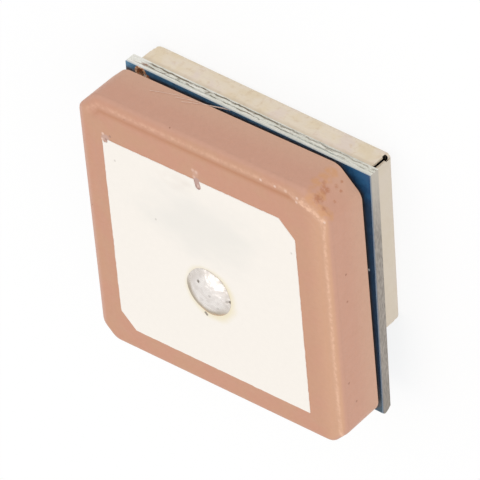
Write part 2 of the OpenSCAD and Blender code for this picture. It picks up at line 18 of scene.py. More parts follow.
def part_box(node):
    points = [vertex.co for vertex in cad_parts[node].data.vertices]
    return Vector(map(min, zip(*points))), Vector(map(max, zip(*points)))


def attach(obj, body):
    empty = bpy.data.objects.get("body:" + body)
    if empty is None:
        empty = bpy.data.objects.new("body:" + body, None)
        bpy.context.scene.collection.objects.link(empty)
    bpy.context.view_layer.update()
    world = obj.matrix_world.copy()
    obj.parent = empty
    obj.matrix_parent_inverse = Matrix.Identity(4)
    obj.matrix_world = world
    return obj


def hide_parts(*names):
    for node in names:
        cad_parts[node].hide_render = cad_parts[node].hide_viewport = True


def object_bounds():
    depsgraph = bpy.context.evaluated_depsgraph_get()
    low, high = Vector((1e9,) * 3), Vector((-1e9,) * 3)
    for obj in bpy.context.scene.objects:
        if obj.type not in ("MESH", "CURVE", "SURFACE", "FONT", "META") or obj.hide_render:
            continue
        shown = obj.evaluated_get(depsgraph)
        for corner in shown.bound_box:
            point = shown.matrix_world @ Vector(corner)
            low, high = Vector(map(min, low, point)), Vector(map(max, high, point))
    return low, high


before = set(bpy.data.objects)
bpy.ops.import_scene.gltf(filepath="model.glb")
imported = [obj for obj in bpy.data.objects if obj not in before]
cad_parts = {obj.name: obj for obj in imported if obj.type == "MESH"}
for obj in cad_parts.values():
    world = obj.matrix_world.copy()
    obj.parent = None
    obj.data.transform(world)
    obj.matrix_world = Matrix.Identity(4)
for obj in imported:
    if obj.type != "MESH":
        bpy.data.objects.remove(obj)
cad_low, cad_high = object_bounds()

LOG = logging.getLogger("gps_module")
MM = 0.001
TINY = 1e-4
NEARLY_FLAT = 0.99
WHITE = (1.0, 1.0, 1.0)

Colour = tuple[float, float, float]
Point = tuple[float, float, float]
Band = tuple[float, float]
Piece = bpy.types.Object
Material = bpy.types.Material
Node = bpy.types.Node
Socket = bpy.types.NodeSocket


def paint(red: int, green: int, blue: int) -> Colour:
    """Turns a colour as a screen shows it into the shader's linear values.

    Args:
        red: Red from 0 to 255.
        green: Green from 0 to 255.
        blue: Blue from 0 to 255.

    Returns:
        The linear colour.
    """
    shares = [value / 255 for value in (red, green, blue)]
    linear = [s / 12.92 if s <= 0.04045 else ((s + 0.055) / 1.055) ** 2.4 for s in shares]
    return (linear[0], linear[1], linear[2])


def level(node: str) -> Band:
    """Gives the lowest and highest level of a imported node.

    Args:
        node: Name of the node.

    Returns:
        Both levels in millimetres.
    """
    low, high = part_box(node)
    return low.z / MM, high.z / MM


def clamp(share: float) -> float:
    """Keeps a share between 0 and 1."""
    return min(1.0, max(0.0, share))


class Pick(Enum):
    """What a selection is made of."""

    VERTS = "VERT"
    EDGES = "EDGE"
    FACES = "FACE"


class Surface(Enum):
    """Kinds of surface on the board, as stored on its faces, in even steps."""

    MASK = 0.0
    BORDER = 0.25
    SNAPPED = 0.5
    ROUTED = 0.75


@dataclass(frozen=True)
class Placement:
    """Where a frame of modelling lies in the part: a shift in millimetres and a turn in degrees."""

    shift_x: float = 0.0
    shift_y: float = 0.0
    turn_deg: float = 0.0

    def matrix(self) -> Matrix:
        """Gives the change from this frame in millimetres to the part's frame in metres.

        Returns:
            The matrix.
        """
        shift = Matrix.Translation((self.shift_x * MM, self.shift_y * MM, 0))
        turn = Matrix.Rotation(math.radians(self.turn_deg), 4, "Z")
        return shift @ turn @ Matrix.Scale(MM, 4)


ANTENNA = Placement(shift_x=-0.44, shift_y=-0.22, turn_deg=1.47)
BOARD = Placement()
FEED_IN_ANTENNA = (-0.48, -2.5)
PIN_HOLE_RADIUS = 0.6
BLOCK_BACK, BLOCK_FRONT = level("ceramic_block")
SILVER_BACK, SILVER_FRONT = level("radiating_electrode")
DOME_FOOT, DOME_TOP = level("front_solder")


class Bench:
    """Modelling tools for the active piece: they pick geometry by its place and finish the mesh."""

    @staticmethod
    def clear() -> None:
        """Leaves edit mode and deselects everything."""
        if bpy.context.object and bpy.context.object.mode != "OBJECT":
            bpy.ops.object.mode_set(mode="OBJECT")
        bpy.ops.object.select_all(action="DESELECT")

    @staticmethod
    def keep(name: str) -> Piece:
        """Names the primitive just added and puts its place and size into its mesh.

        Args:
            name: Name of the piece.

        Returns:
            The piece.
        """
        piece = bpy.context.object
        piece.name = name
        bpy.ops.object.transform_apply(location=True, rotation=True, scale=True)
        return piece

    @staticmethod
    def block(name: str, size: Point, centre: Point) -> Piece:
        """Adds a block to shape.

        Args:
            name: Name of the piece.
            size: Its three sizes in millimetres.
            centre: Its centre in millimetres.

        Returns:
            The block.
        """
        Bench.clear()
        bpy.ops.mesh.primitive_cube_add(size=1, location=centre, scale=size)
        return Bench.keep(name)

    @staticmethod
    def rod(name: str, radius: float, height: float, centre: Point, sides: int = 48) -> Piece:
        """Adds an upright rod, to shape or to cut with.

        Args:
            name: Name of the piece.
            radius: Its radius in millimetres.
            height: Its height in millimetres.
            centre: Its centre in millimetres.
            sides: Number of its sides.

        Returns:
            The rod.
        """
        Bench.clear()
        bpy.ops.mesh.primitive_cylinder_add(vertices=sides, radius=radius, depth=height, location=centre)
        return Bench.keep(name)

    @staticmethod
    def activate(piece: Piece) -> None:
        """Selects one piece alone and makes it active.

        Args:
            piece: The piece.
        """
        Bench.clear()
        piece.select_set(True)
        bpy.context.view_layer.objects.active = piece

    @staticmethod
    def pick(kind: Pick, test: Callable) -> None:
        """Selects what passes a test, and nothing else, on the active piece in edit mode.

        Args:
            kind: Verts, edges or faces.
            test: Says of one element whether it is picked.
        """
        piece = bpy.context.object
        if piece.mode != "EDIT":
            bpy.ops.object.mode_set(mode="EDIT")
        bpy.ops.mesh.select_mode(type=kind.value)
        bpy.ops.mesh.select_all(action="DESELECT")
        work = bmesh.from_edit_mesh(piece.data)
        elements = {Pick.VERTS: work.verts, Pick.EDGES: work.edges, Pick.FACES: work.faces}[kind]
        for element in [element for element in elements if test(element)]:
            element.select_set(True)
        work.select_flush_mode()
        bmesh.update_edit_mesh(piece.data)

    @staticmethod
    def pick_all(kind: Pick) -> None:
        """Selects all of the active piece in edit mode."""
        Bench.pick(kind, lambda element: True)

    @staticmethod
    def upright(edge: bmesh.types.BMEdge) -> bool:
        """Tells whether an edge runs straight up."""
        run = edge.verts[1].co - edge.verts[0].co
        return abs(run.x) < TINY and abs(run.y) < TINY

    @staticmethod
    def on_level(edge: bmesh.types.BMEdge, height: float) -> bool:
        """Tells whether both ends of an edge lie on a level."""
        return all(abs(vert.co.z - height) < TINY for vert in edge.verts)

    @staticmethod
    def flat_on(face: bmesh.types.BMFace, height: float) -> bool:
        """Tells whether a face lies flat on a level."""
        return abs(face.normal.z) > NEARLY_FLAT and abs(face.calc_center_median().z - height) < TINY

    @staticmethod
    def slice_level(height: float) -> None:
        """Adds a ring of edges round the active piece at a level."""
        Bench.pick_all(Pick.FACES)
        bpy.ops.mesh.bisect(plane_co=(0, 0, height), plane_no=(0, 0, 1), threshold=TINY)

    @staticmethod
    def raise_picked(rise: float) -> None:
        """Extrudes the picked faces straight up."""
        bpy.ops.mesh.extrude_region_move(TRANSFORM_OT_translate={"value": (0, 0, rise)})

    @staticmethod
    def roughen(offset: float, seed: int) -> None:
        """Moves every point of the active piece a little, in a way that a seed sets."""
        Bench.pick_all(Pick.VERTS)
        bpy.ops.transform.vertex_random(offset=offset, seed=seed)

    @staticmethod
    def cut(piece: Piece, cutter: Piece) -> None:
        """Cuts one shape out of a piece and removes the cutter.

        Args:
            piece: The piece that is cut.
            cutter: The shape that is taken out.
        """
        Bench.activate(piece)
        modifier = piece.modifiers.new("cut", "BOOLEAN")
        modifier.operation = "DIFFERENCE"
        modifier.solver = "EXACT"
        modifier.object = cutter
        bpy.ops.object.modifier_apply(modifier=modifier.name)
        bpy.data.objects.remove(cutter)

    @staticmethod
    def outward() -> None:
        """Merges doubled points of the active piece and turns its faces outwards."""
        Bench.pick_all(Pick.FACES)
        bpy.ops.mesh.remove_doubles(threshold=TINY)
        bpy.ops.mesh.normals_make_consistent(inside=False)
        bpy.ops.object.mode_set(mode="OBJECT")

    @staticmethod
    def finish(piece: Piece, sharp_deg: float, placement: Placement) -> Piece:
        """Shades a piece smooth, with its large faces kept flat, and moves it to its place in the part.

        Args:
            piece: The piece, in millimetres.
            sharp_deg: Edges sharper than this stay sharp.
            placement: Where its frame lies.

        Returns:
            The piece, in place.
        """
        Bench.activate(piece)
        bpy.ops.object.shade_smooth_by_angle(angle=math.radians(sharp_deg))
        modifier = piece.modifiers.new("flat faces", "WEIGHTED_NORMAL")
        modifier.keep_sharp = True
        bpy.ops.object.modifier_apply(modifier=modifier.name)
        piece.matrix_world = placement.matrix()
        bpy.ops.object.transform_apply(location=True, rotation=True, scale=True)
        return piece

    @staticmethod
    def hand_over(piece: Piece, finish: Material, slot: str, *nodes: str) -> None:
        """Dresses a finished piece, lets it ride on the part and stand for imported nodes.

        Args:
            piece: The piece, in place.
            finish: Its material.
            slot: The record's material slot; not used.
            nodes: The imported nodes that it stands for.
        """
        piece.data.materials.clear()
        piece.data.materials.append(finish)
        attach(piece, "root")
        if nodes:
            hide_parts(*nodes)
        LOG.info("%s: %d faces, stands for %s", piece.name, len(piece.data.polygons), nodes or "nothing")


def dress_node(node: str, finish: Material) -> None:
    """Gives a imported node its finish."""
    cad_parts[node].material_slots[0].material = finish
    LOG.info("%s: keeps its solid, dressed in %s", node, finish.name)


class Wiring:
    """Nodes and links of one shader tree, added in short calls."""

    def __init__(self, tree: bpy.types.NodeTree) -> None:
        """Starts on a tree."""
        self.tree = tree

    def add(self, kind: str, **settings: object) -> Node:
        """Adds a node.

        Args:
            kind: Type of the node.
            settings: Its properties.

        Returns:
            The node.
        """
        node = self.tree.nodes.new(kind)
        for name, value in settings.items():
            setattr(node, name, value)
        return node

    def feed(self, target: Socket, value: object) -> None:
        """Links a socket to another, or sets its number, vector or colour.

        Args:
            target: The input socket.
            value: An output socket, a number or a tuple.
        """
        if isinstance(value, Socket):
            self.tree.links.new(value, target)
        elif isinstance(value, tuple) and target.type == "RGBA":
            target.default_value = (*value, 1.0)
        else:
            target.default_value = value

    def place(self, placement: Placement) -> Socket:
        """Gives the point on the piece in millimetres.

        Args:
            placement: The frame of modelling that it is given in.

        Returns:
            The point.
        """
        mapping = self.add("ShaderNodeMapping", vector_type="TEXTURE")
        mapping.inputs["Location"].default_value = (placement.shift_x * MM, placement.shift_y * MM, 0)
        mapping.inputs["Rotation"].default_value = (0, 0, math.radians(placement.turn_deg))
        mapping.inputs["Scale"].default_value = (MM, MM, MM)
        self.feed(mapping.inputs["Vector"], self.add("ShaderNodeTexCoord").outputs["Object"])
        return mapping.outputs["Vector"]

    def axis(self, vector: Socket, name: str) -> Socket:
        """Gives one part of a vector.

        Args:
            vector: The vector.
            name: X, Y or Z.

        Returns:
            The number.
        """
        split = self.add("ShaderNodeSeparateXYZ")
        self.feed(split.inputs["Vector"], vector)
        return split.outputs[name]

    def attribute(self, name: str) -> Socket:
        """Gives a number stored on the mesh."""
        return self.add("ShaderNodeAttribute", attribute_name=name).outputs["Fac"]

    def math(self, operation: str, *values: object) -> Socket:
        """Works out one number from others.

        Args:
            operation: The Math node's operation.
            values: Its numbers or sockets.

        Returns:
            The result.
        """
        node = self.add("ShaderNodeMath", operation=operation)
        for target, value in zip(node.inputs, values):
            self.feed(target, value)
        return node.outputs[0]

    def times(self, *values: object) -> Socket:
        """Multiplies numbers with each other, without a node for a plain 1.

        Args:
            values: A socket, and the numbers or sockets that it is multiplied by.

        Returns:
            The product.
        """
        product, *others = values
        for value in others:
            if value != 1.0:
                product = self.math("MULTIPLY", product, value)
        return product

    def scaled(self, value: Socket, slope: object, start: object) -> Socket:
        """Multiplies a number by a slope and adds a start."""
        return self.math("MULTIPLY_ADD", value, slope, start)

    def vector(self, operation: str, *values: object) -> Socket:
        """Works on vectors.

        Args:
            operation: The Vector Math node's operation.
            values: Its vectors or sockets.

        Returns:
            The new vector, or the number that a length or a dot product gives.
        """
        node = self.add("ShaderNodeVectorMath", operation=operation)
        for target, value in zip(node.inputs, values):
            self.feed(target, value)
        return node.outputs["Value" if operation in ("LENGTH", "DOT_PRODUCT") else "Vector"]

    def ease(self, value: Socket, start: object, end: object) -> Socket:
        """Gives 0 before a start and 1 after an end, with a soft change between them.

        Args:
            value: The number that is looked at.
            start: Where the change starts.
            end: Where it ends, above or below the start.

        Returns:
            The share.
        """
        node = self.add("ShaderNodeMapRange", interpolation_type="SMOOTHSTEP")
        self.feed(node.inputs["Value"], value)
        self.feed(node.inputs["From Min"], start)
        self.feed(node.inputs["From Max"], end)
        return node.outputs["Result"]

    def blend(self, factor: object, first: object, second: object, mode: str = "MIX") -> Socket:
        """Blends two colours.

        Args:
            factor: Share of the second colour.
            first: First colour.
            second: Second colour.
            mode: Way of blending.

        Returns:
            The blended colour.
        """
        node = self.add("ShaderNodeMix", data_type="RGBA", blend_type=mode)
        self.feed(node.inputs[0], factor)
        self.feed(node.inputs[6], first)
        self.feed(node.inputs[7], second)
        return node.outputs[2]

    def noise(self, place: Socket, size: object, detail: float = 2.0) -> Socket:
        """Gives noise round 0.5.

        Args:
            place: The point.
            size: Size of the grains in millimetres.
            detail: How much finer grain is in it.

        Returns:
            The noise.
        """
        node = self.add("ShaderNodeTexNoise")
        self.feed(node.inputs["Vector"], place)
        scale = self.math("DIVIDE", 1.0, size) if isinstance(size, Socket) else 1 / size
        self.feed(node.inputs["Scale"], scale)
        self.feed(node.inputs["Detail"], detail)
        return node.outputs[0]

    def group(self, tree: bpy.types.NodeTree, **values: object) -> Socket:
        """Places a shared effect with its own values.

        Args:
            tree: The effect's node group.
            values: Values or sockets for its inputs, by name.

        Returns:
            Its output.
        """
        node = self.add("ShaderNodeGroup", node_tree=tree)
        for name, value in values.items():
            self.feed(node.inputs[name], value)
        return node.outputs[0]


class Effects:
    """Shader node groups that several finishes use, each built once."""

    def __init__(self) -> None:
        """Builds the groups."""
        self.mottle = self._mottle()
        self.pits = self._pits()
        self.patch = self._patch()
        self.streaks = self._streaks()

    @staticmethod
    def _start(name: str, output: str, **inputs: str) -> tuple[Wiring, bpy.types.NodeOutputs, Socket]:
        """Starts a group with its sockets.

        Args:
            name: Name of the group.
            output: Name of its output.
            inputs: Kinds of its inputs, by name.

        Returns:
            Its wiring, what it is given and the socket that takes its result.
        """
        tree = bpy.data.node_groups.new(name, "ShaderNodeTree")
        for label, kind in inputs.items():
            tree.interface.new_socket(name=label, in_out="INPUT", socket_type=f"NodeSocket{kind}")
        tree.interface.new_socket(name=output, in_out="OUTPUT", socket_type="NodeSocketFloat")
        wiring = Wiring(tree)
        return wiring, wiring.add("NodeGroupInput").outputs, wiring.add("NodeGroupOutput").inputs[output]

    def _mottle(self) -> bpy.types.NodeTree:
        """Makes soft lighter and darker areas, a shade round 1.

        Returns:
            The group.
        """
        wiring, given, result = self._start("soft mottle", "Shade", Place="Vector", Size="Float",
                                            Amount="Float")
        grain = wiring.noise(given["Place"], given["Size"], 3.0)
        spread = wiring.times(wiring.math("SUBTRACT", grain, 0.5), 4.0)
        wiring.feed(result, wiring.scaled(spread, given["Amount"], 1.0))
        return wiring.tree

    def _pits(self) -> bpy.types.NodeTree:
        """Makes small round spots at uneven places, a mask.

        Returns:
            The group.
        """
        wiring, given, result = self._start("small pits", "Mask", Place="Vector", Spacing="Float",
                                            Radius="Float", Share="Float")
        cells = wiring.add("ShaderNodeTexVoronoi")
        wiring.feed(cells.inputs["Vector"], given["Place"])
        wiring.feed(cells.inputs["Scale"], wiring.math("DIVIDE", 1.0, given["Spacing"]))
        away = wiring.times(cells.outputs["Distance"], given["Spacing"])
        core = wiring.times(given["Radius"], 0.5)
        inside = wiring.math("SUBTRACT", 1.0, wiring.ease(away, core, given["Radius"]))
        drawn = wiring.math("LESS_THAN", wiring.axis(cells.outputs["Color"], "X"), given["Share"])
        wiring.feed(result, wiring.times(inside, drawn))
        return wiring.tree

    def _patch(self) -> bpy.types.NodeTree:
        """Makes a patch round a centre, with a soft and ragged edge, a mask.

        Returns:
            The group.
        """
        wiring, given, result = self._start("soft patch", "Mask", Place="Vector", Centre="Vector",
                                            Radii="Vector", Softness="Float", Ragged="Float")
        offset = wiring.vector("SUBTRACT", given["Place"], given["Centre"])
        scaled = wiring.vector("DIVIDE", offset, given["Radii"])
        wobble = wiring.math("SUBTRACT", wiring.noise(scaled, 0.5), 0.5)
        edge = wiring.scaled(wobble, given["Ragged"], wiring.vector("LENGTH", scaled))
        inner = wiring.math("SUBTRACT", 1.0, given["Softness"])
        wiring.feed(result, wiring.math("SUBTRACT", 1.0, wiring.ease(edge, inner, 1.0)))
        return wiring.tree

    def _streaks(self) -> bpy.types.NodeTree:
        """Makes noise drawn out along the surface, a value round 0.5.

        Returns:
            The group.
        """
        wiring, given, result = self._start("drawn-out grain", "Value", Place="Vector", Stretch="Vector")
        drawn = wiring.vector("DIVIDE", given["Place"], given["Stretch"])
        wiring.feed(result, wiring.noise(drawn, 1.0, 4.0))
        return wiring.tree


class Coat(Wiring):
    """The wiring of one finish: its shader, the shared effects and the point on the piece in millimetres."""

    def __init__(self, tree: bpy.types.NodeTree, effects: Effects, placement: Placement) -> None:
        """Starts with the shader and its output alone.

        Args:
            tree: The material's tree.
            effects: The shared effects.
            placement: The frame of modelling that the finish works in.
        """
        super().__init__(tree)
        tree.nodes.clear()
        self.effects = effects
        self.shader = self.add("ShaderNodeBsdfPrincipled")
        self.feed(self.add("ShaderNodeOutputMaterial").inputs["Surface"], self.shader.outputs["BSDF"])
        self.spot = self.place(placement)

    def along(self, axis: str) -> Socket:
        """Gives where the point lies along X, Y or Z."""
        return self.axis(self.spot, axis)

    def grain(self, size: float, detail: float = 2.0) -> Socket:
        """Gives noise over the piece, round 0.5, with grains of a size in millimetres."""
        return self.noise(self.spot, size, detail)

    def mottled(self, colour: object, size: float, amount: float) -> Socket:
        """Makes a colour lighter and darker in soft areas of a size."""
        shade = self.group(self.effects.mottle, Place=self.spot, Size=size, Amount=amount)
        return self.blend(1.0, colour, shade, "MULTIPLY")

    def pits(self, spacing: float, radius: float, share: float) -> Socket:
        """Gives a mask of small pits, of which a share is there."""
        return self.group(self.effects.pits, Place=self.spot, Spacing=spacing, Radius=radius, Share=share)

    def streaks(self, stretch: Point, spot: Socket | None = None) -> Socket:
        """Gives grain drawn out by three sizes, at the coat's own point or at another one."""
        return self.group(self.effects.streaks, Place=spot or self.spot, Stretch=stretch)

    def lay(self, colour: Socket, tone: Colour, mask: object, strength: float = 1.0) -> Socket:
        """Lays a tone over a colour as far as a mask and a strength say."""
        return self.blend(self.times(mask, strength), colour, tone)

    def close(self, colour: Socket, height: Socket, depth_mm: float, roughness: Socket) -> None:
        """Feeds the shader.

        Args:
            colour: The finished colour.
            height: Height of the relief.
            depth_mm: What a height of 1 stands for.
            roughness: The finished roughness.
        """
        self.feed(self.shader.inputs["Base Color"], colour)
        relief = self.add("ShaderNodeBump")
        relief.inputs["Distance"].default_value = depth_mm * MM
        self.feed(relief.inputs["Height"], height)
        self.feed(self.shader.inputs["Normal"], relief.outputs["Normal"])
        self.feed(self.shader.inputs["Roughness"], roughness)


@dataclass(frozen=True)
class Spots:
    """Soft-edged spots of one tone and size, at chosen places."""

    tone: Colour
    strength: float
    radii: Point
    centres: tuple[Point, ...]
    softness: float = 0.6
    ragged: float = 0.6

    def mask(self, coat: Coat) -> Socket:
        """Gives a mask of all the spots.

        Args:
            coat: The finish that they are on.

        Returns:
            The mask.
        """
        mask: object = 0.0
        for centre in self.centres:
            one = coat.group(coat.effects.patch, Place=coat.spot, Centre=centre, Radii=self.radii,
                             Softness=self.softness, Ragged=self.ragged)
            mask = coat.math("MAXIMUM", mask, one)
        return mask

    def lay(self, coat: Coat, colour: Socket, within: object = 1.0) -> Socket:
        """Lays the spots over a colour, as far as another mask allows."""
        return coat.lay(colour, self.tone, coat.times(self.mask(coat), within), self.strength)


@dataclass(frozen=True)
class Finish:
    """What every finish has: a name, its roughness, how far it is metal, and the frame that it works in."""

    placement: ClassVar[Placement] = BOARD
    name: str
    roughness: float
    metallic: float = 0.0

    def material(self, effects: Effects) -> Material:
        """Builds the material.

        Args:
            effects: The shared shader groups.

        Returns:
            The material.
        """
        material = bpy.data.materials.new(self.name)
        material.use_nodes = True
        coat = Coat(material.node_tree, effects, self.placement)
        coat.shader.inputs["Roughness"].default_value = self.roughness
        coat.shader.inputs["Metallic"].default_value = self.metallic
        self.wire(coat)
        return material

    def wire(self, coat: Coat) -> None:
        """Wires the colour and grain of the finish to its shader."""
        raise NotImplementedError

    @staticmethod
    def specks(coat: Coat, fine: Socket, faint: Spots, dark: Spots) -> Socket:
        """Gives a mask of fine and faint specks, and of dark ones in full."""
        paler = coat.math("MAXIMUM", fine, faint.mask(coat))
        return coat.math("MAXIMUM", dark.mask(coat), coat.times(paler, faint.strength))


@dataclass(frozen=True)
class FiredCeramic(Finish):
    """Salmon dielectric, matt, with a painted highlight on the rim's crest and painted shade in its groove,
    stains at one cut corner, ground spots and a few pits.
    """

    placement: ClassVar[Placement] = ANTENNA
    pink: Colour = paint(202, 149, 124)
    tan: Colour = paint(201, 152, 124)
    # Painted light: the right end is lighter and warmer; painted sheen on the left edge.
    right_end_light: Colour = paint(209, 161, 130)
    left_edge_sheen: Colour = paint(214, 172, 156)
    slope: Colour = paint(203, 155, 133)
    side: Colour = paint(207, 157, 134)
    pale: Colour = paint(210, 166, 141)
    # Painted highlight on the rim's crest and painted shade in the groove inside it.
    crest: Colour = paint(236, 190, 160)
    groove: Colour = paint(185, 127, 92)
    right_band: Band = (9.6, 11.6)
    left_band: Band = (-11.8, -12.3)
    slope_depth: Band = (0.02, 0.2)
    side_depth: Band = (0.3, 0.55)
    pale_depth: Band = (1.4, BLOCK_FRONT - BLOCK_BACK)
    # A straight painted highlight along the right rim, near its bottom end.
    right_crest: float = 11.88
    right_crest_half: Band = (0.02, 0.3)
    right_crest_levels: Band = (7.45, 7.7)
    right_crest_start: Band = (-9.0, -10.0)
    grain_mm: float = 0.16
    lump_mm: float = 0.7
    relief_mm: float = 0.03
    shine: float = 0.35
    stains: Spots = Spots(paint(210, 154, 108), 0.68, (0.8, 0.8, 0.62), (
        (10.5, 12.43, 4.9), (10.52, 12.42, 5.7), (10.45, 12.45, 6.5), (10.7, 12.3, 7.4), (11.05, 11.9, 7.1),
        (12.1, 10.8, 7.6), (10.75, 11.65, 7.75), (11.3, 11.15, 7.75), (11.85, 10.75, 7.7)))
    rust: tuple[Spots, ...] = (
        Spots(paint(180, 114, 76), 0.65, (0.55,) * 3, ((11.02, 11.88, 6.45), (11.15, 11.75, 7.4))),
        Spots(paint(180, 114, 76), 0.65, (0.19,) * 3, (
            (11.24, 11.66, 4.75), (11.62, 11.28, 5.34), (11.83, 11.07, 6.4))),
        Spots(paint(180, 114, 76), 0.45, (0.25,) * 3, (
            (10.69, 12.21, 6.1), (11.25, 11.65, 5.4), (11.75, 11.15, 7.6))),
    )
    ground_at_slot: Spots = Spots(paint(190, 156, 146), 1.0, (0.5, 0.7, 0.5), (
        (-0.66, 8.2, BLOCK_FRONT),), 0.3, 0.3)
    ground_at_nick: Spots = Spots(paint(198, 166, 156), 0.7, (0.55, 0.5, 0.5), (
        (-9.85, 8.6, BLOCK_FRONT),), 0.5)
    smear: Spots = Spots(paint(218, 184, 168), 0.35, (0.45, 0.5, 0.5), ((-0.72, 9.2, BLOCK_FRONT),), 0.8, 1.2)
    scratches: Spots = Spots(paint(150, 112, 102), 0.6, (0.16,) * 3, (
        (-9.81, 8.5, 8.0), (-9.35, 8.99, 8.0), (-0.99, 8.4, 8.0), (-0.82, 7.98, 8.0), (-0.55, 7.74, 8.0),
        (-0.31, 8.15, 8.0)))
    # Two pale spots at the nick, and painted highlights on the crest and at the ends of the top right cut.
    chips: Spots = Spots(paint(238, 208, 192), 0.7, (0.17,) * 3, (
        (-10.08, 8.97, 8.0), (-10.19, 8.39, 8.0), (5.95, 11.59, 8.0), (7.33, 11.58, 8.0), (9.47, 11.38, 8.0),
        (9.36, 10.95, 8.0), (12.05, 10.2, 7.95)))
    # Faint chips round the slot, and one painted highlight on the crest.
    faint_chips_and_highlight: Spots = Spots(paint(238, 208, 192), 0.4, (0.2,) * 3, (
        (-0.92, 8.8, 8.0), (-0.64, 9.37, 8.0), (-0.99, 9.43, 8.0), (-0.56, 8.05, 8.0), (8.38, 11.59, 8.0)))
    side_pits: Spots = Spots(paint(156, 100, 74), 0.6, (0.13,) * 3, (
        (12.5, 4.32, 6.56), (12.5, 1.7, 6.64), (12.5, -6.1, 7.25), (12.5, -8.43, 6.53)))

    def wire(self, coat: Coat) -> None:
        """Wires the ceramic's tints, rim, stains, ground spots, pits and fine grain.

        Args:
            coat: The wiring of the finish.
        """
        colour = coat.blend(coat.ease(coat.grain(2.6), 0.36, 0.64), self.pink, self.tan)
        x = coat.along("X")
        # Painted light on the right end, painted sheen on the left edge.
        colour = coat.lay(colour, self.right_end_light, coat.ease(x, *self.right_band))
        colour = coat.lay(colour, self.left_edge_sheen, coat.ease(x, *self.left_band), 0.6)
        depth = coat.math("SUBTRACT", BLOCK_FRONT, coat.along("Z"))
        layers = ((self.slope, self.slope_depth), (self.side, self.side_depth), (self.pale, self.pale_depth))
        for tone, band in layers:
            colour = coat.lay(colour, tone, coat.ease(depth, *band))
        colour = self._stained(coat, self._rimmed(coat, coat.mottled(colour, 0.4, 0.02)))
        for spots in (self.ground_at_slot, self.ground_at_nick, self.smear, self.scratches, self.chips,
                      self.faint_chips_and_highlight):
            colour = spots.lay(coat, colour)
        pits = coat.math("MAXIMUM", coat.pits(1.1, 0.08, 0.12), self.side_pits.mask(coat))
        colour = coat.lay(colour, self.side_pits.tone, pits, self.side_pits.strength)
        lumps = coat.grain(self.lump_mm)
        relief = coat.scaled(lumps, 1.6, coat.math("SUBTRACT", coat.grain(self.grain_mm, 4.0), pits))
        coat.close(colour, relief, self.relief_mm, coat.scaled(lumps, 0.25, 0.4))
        coat.shader.inputs["Specular IOR Level"].default_value = self.shine

    def _rimmed(self, coat: Coat, colour: Socket) -> Socket:
        """Lays the painted highlight on the rim's crest and the painted shade in the groove inside it over a
        colour.

        Args:
            coat: The wiring of the finish.
            colour: The colour below.

        Returns:
            The colour.
        """
        # Painted highlight on the crest, broken into patches by noise.
        highlight_weight = coat.scaled(coat.ease(coat.grain(0.3, 4.0), 0.38, 0.66), 0.6, 0.22)
        across = coat.math("ABSOLUTE", coat.math("SUBTRACT", coat.along("X"), self.right_crest))
        straight = coat.math("SUBTRACT", 1.0, coat.ease(across, *self.right_crest_half))
        at_rim = coat.ease(coat.along("Z"), *self.right_crest_levels)
        lower = coat.ease(coat.along("Y"), *self.right_crest_start)
        crest = coat.times(coat.attribute("crest"), coat.math("SUBTRACT", 1.0, lower))
        crest = coat.math("MAXIMUM", crest, coat.times(straight, at_rim, lower))
        colour = coat.lay(colour, self.crest, coat.times(crest, highlight_weight))
        # Painted shade in the groove, at the top only.
        return coat.lay(colour, self.groove, coat.attribute("groove"), 0.85)

    def _stained(self, coat: Coat, colour: Socket) -> Socket:
        """Lays the orange and rusty stains of the top right cut over a colour.

        Args:
            coat: The wiring of the finish.
            colour: The colour below.

        Returns:
            The colour.
        """
        patchy = coat.ease(coat.grain(0.55, 3.0), 0.28, 0.6)
        off_crest = coat.math("SUBTRACT", 1.0, coat.attribute("crest"))
        colour = self.stains.lay(coat, colour, coat.times(patchy, off_crest))
        rough = coat.ease(coat.grain(0.22, 3.0), 0.3, 0.6)
        for spots in self.rust:
            colour = spots.lay(coat, colour, rough)
        return colour


@dataclass(frozen=True)
class FiredSilver(Finish):
    """Cream-white silver paste, printed and fired, with a greyer zone and flux round the joint."""

    placement: ClassVar[Placement] = ANTENNA
    cream: Colour = paint(244, 238, 230)
    grey_zone: Spots = Spots(paint(234, 230, 223), 0.8, (8.2, 4.1, 5.0), ((-0.6, 3.7, SILVER_FRONT),), 0.75, 0.9)
    flux: Spots = Spots(paint(236, 224, 192), 0.8, (2.85, 2.85, 3.0),
                        ((FEED_IN_ANTENNA[0] + 0.14, FEED_IN_ANTENNA[1] - 0.16, SILVER_FRONT),), 0.3, 0.18)
    rubbed: Spots = Spots(paint(228, 219, 209), 0.5, (2.6, 1.2, 3.0), ((-2.7, 7.6, SILVER_FRONT),), 0.7, 0.8)
    dark_specks: Spots = Spots(paint(132, 120, 108), 0.9, (0.18, 0.18, 1.0), (
        (-1.07, -4.87, 8.04), (-0.97, -4.98, 8.04)))
    faint_specks: Spots = Spots(paint(132, 120, 108), 0.3, (0.14, 0.14, 1.0), (
        (-9.08, 6.74, 8.04), (-5.37, 2.58, 8.04), (8.45, 5.55, 8.04)))
    grain_mm: float = 0.14
    relief_mm: float = 0.006

    def wire(self, coat: Coat) -> None:
        """Wires the silver's greyer zone, flux halo, scuffs, specks and print grain.

        Args:
            coat: The wiring of the finish.
        """
        colour = coat.mottled(self.cream, 0.5, 0.008)
        colour = self.flux.lay(coat, self.grey_zone.lay(coat, colour))
        colour = self.rubbed.lay(coat, colour, coat.ease(coat.streaks((1.5, 0.9, 1.0)), 0.3, 0.8))
        specks = self.specks(coat, coat.pits(1.3, 0.05, 0.1), self.faint_specks, self.dark_specks)
        colour = coat.lay(colour, self.dark_specks.tone, specks, self.dark_specks.strength)
        grain = coat.grain(self.grain_mm, 3.0)
        relief = coat.math("SUBTRACT", grain, specks)
        coat.close(colour, relief, self.relief_mm, coat.scaled(grain, 0.2, 0.45))


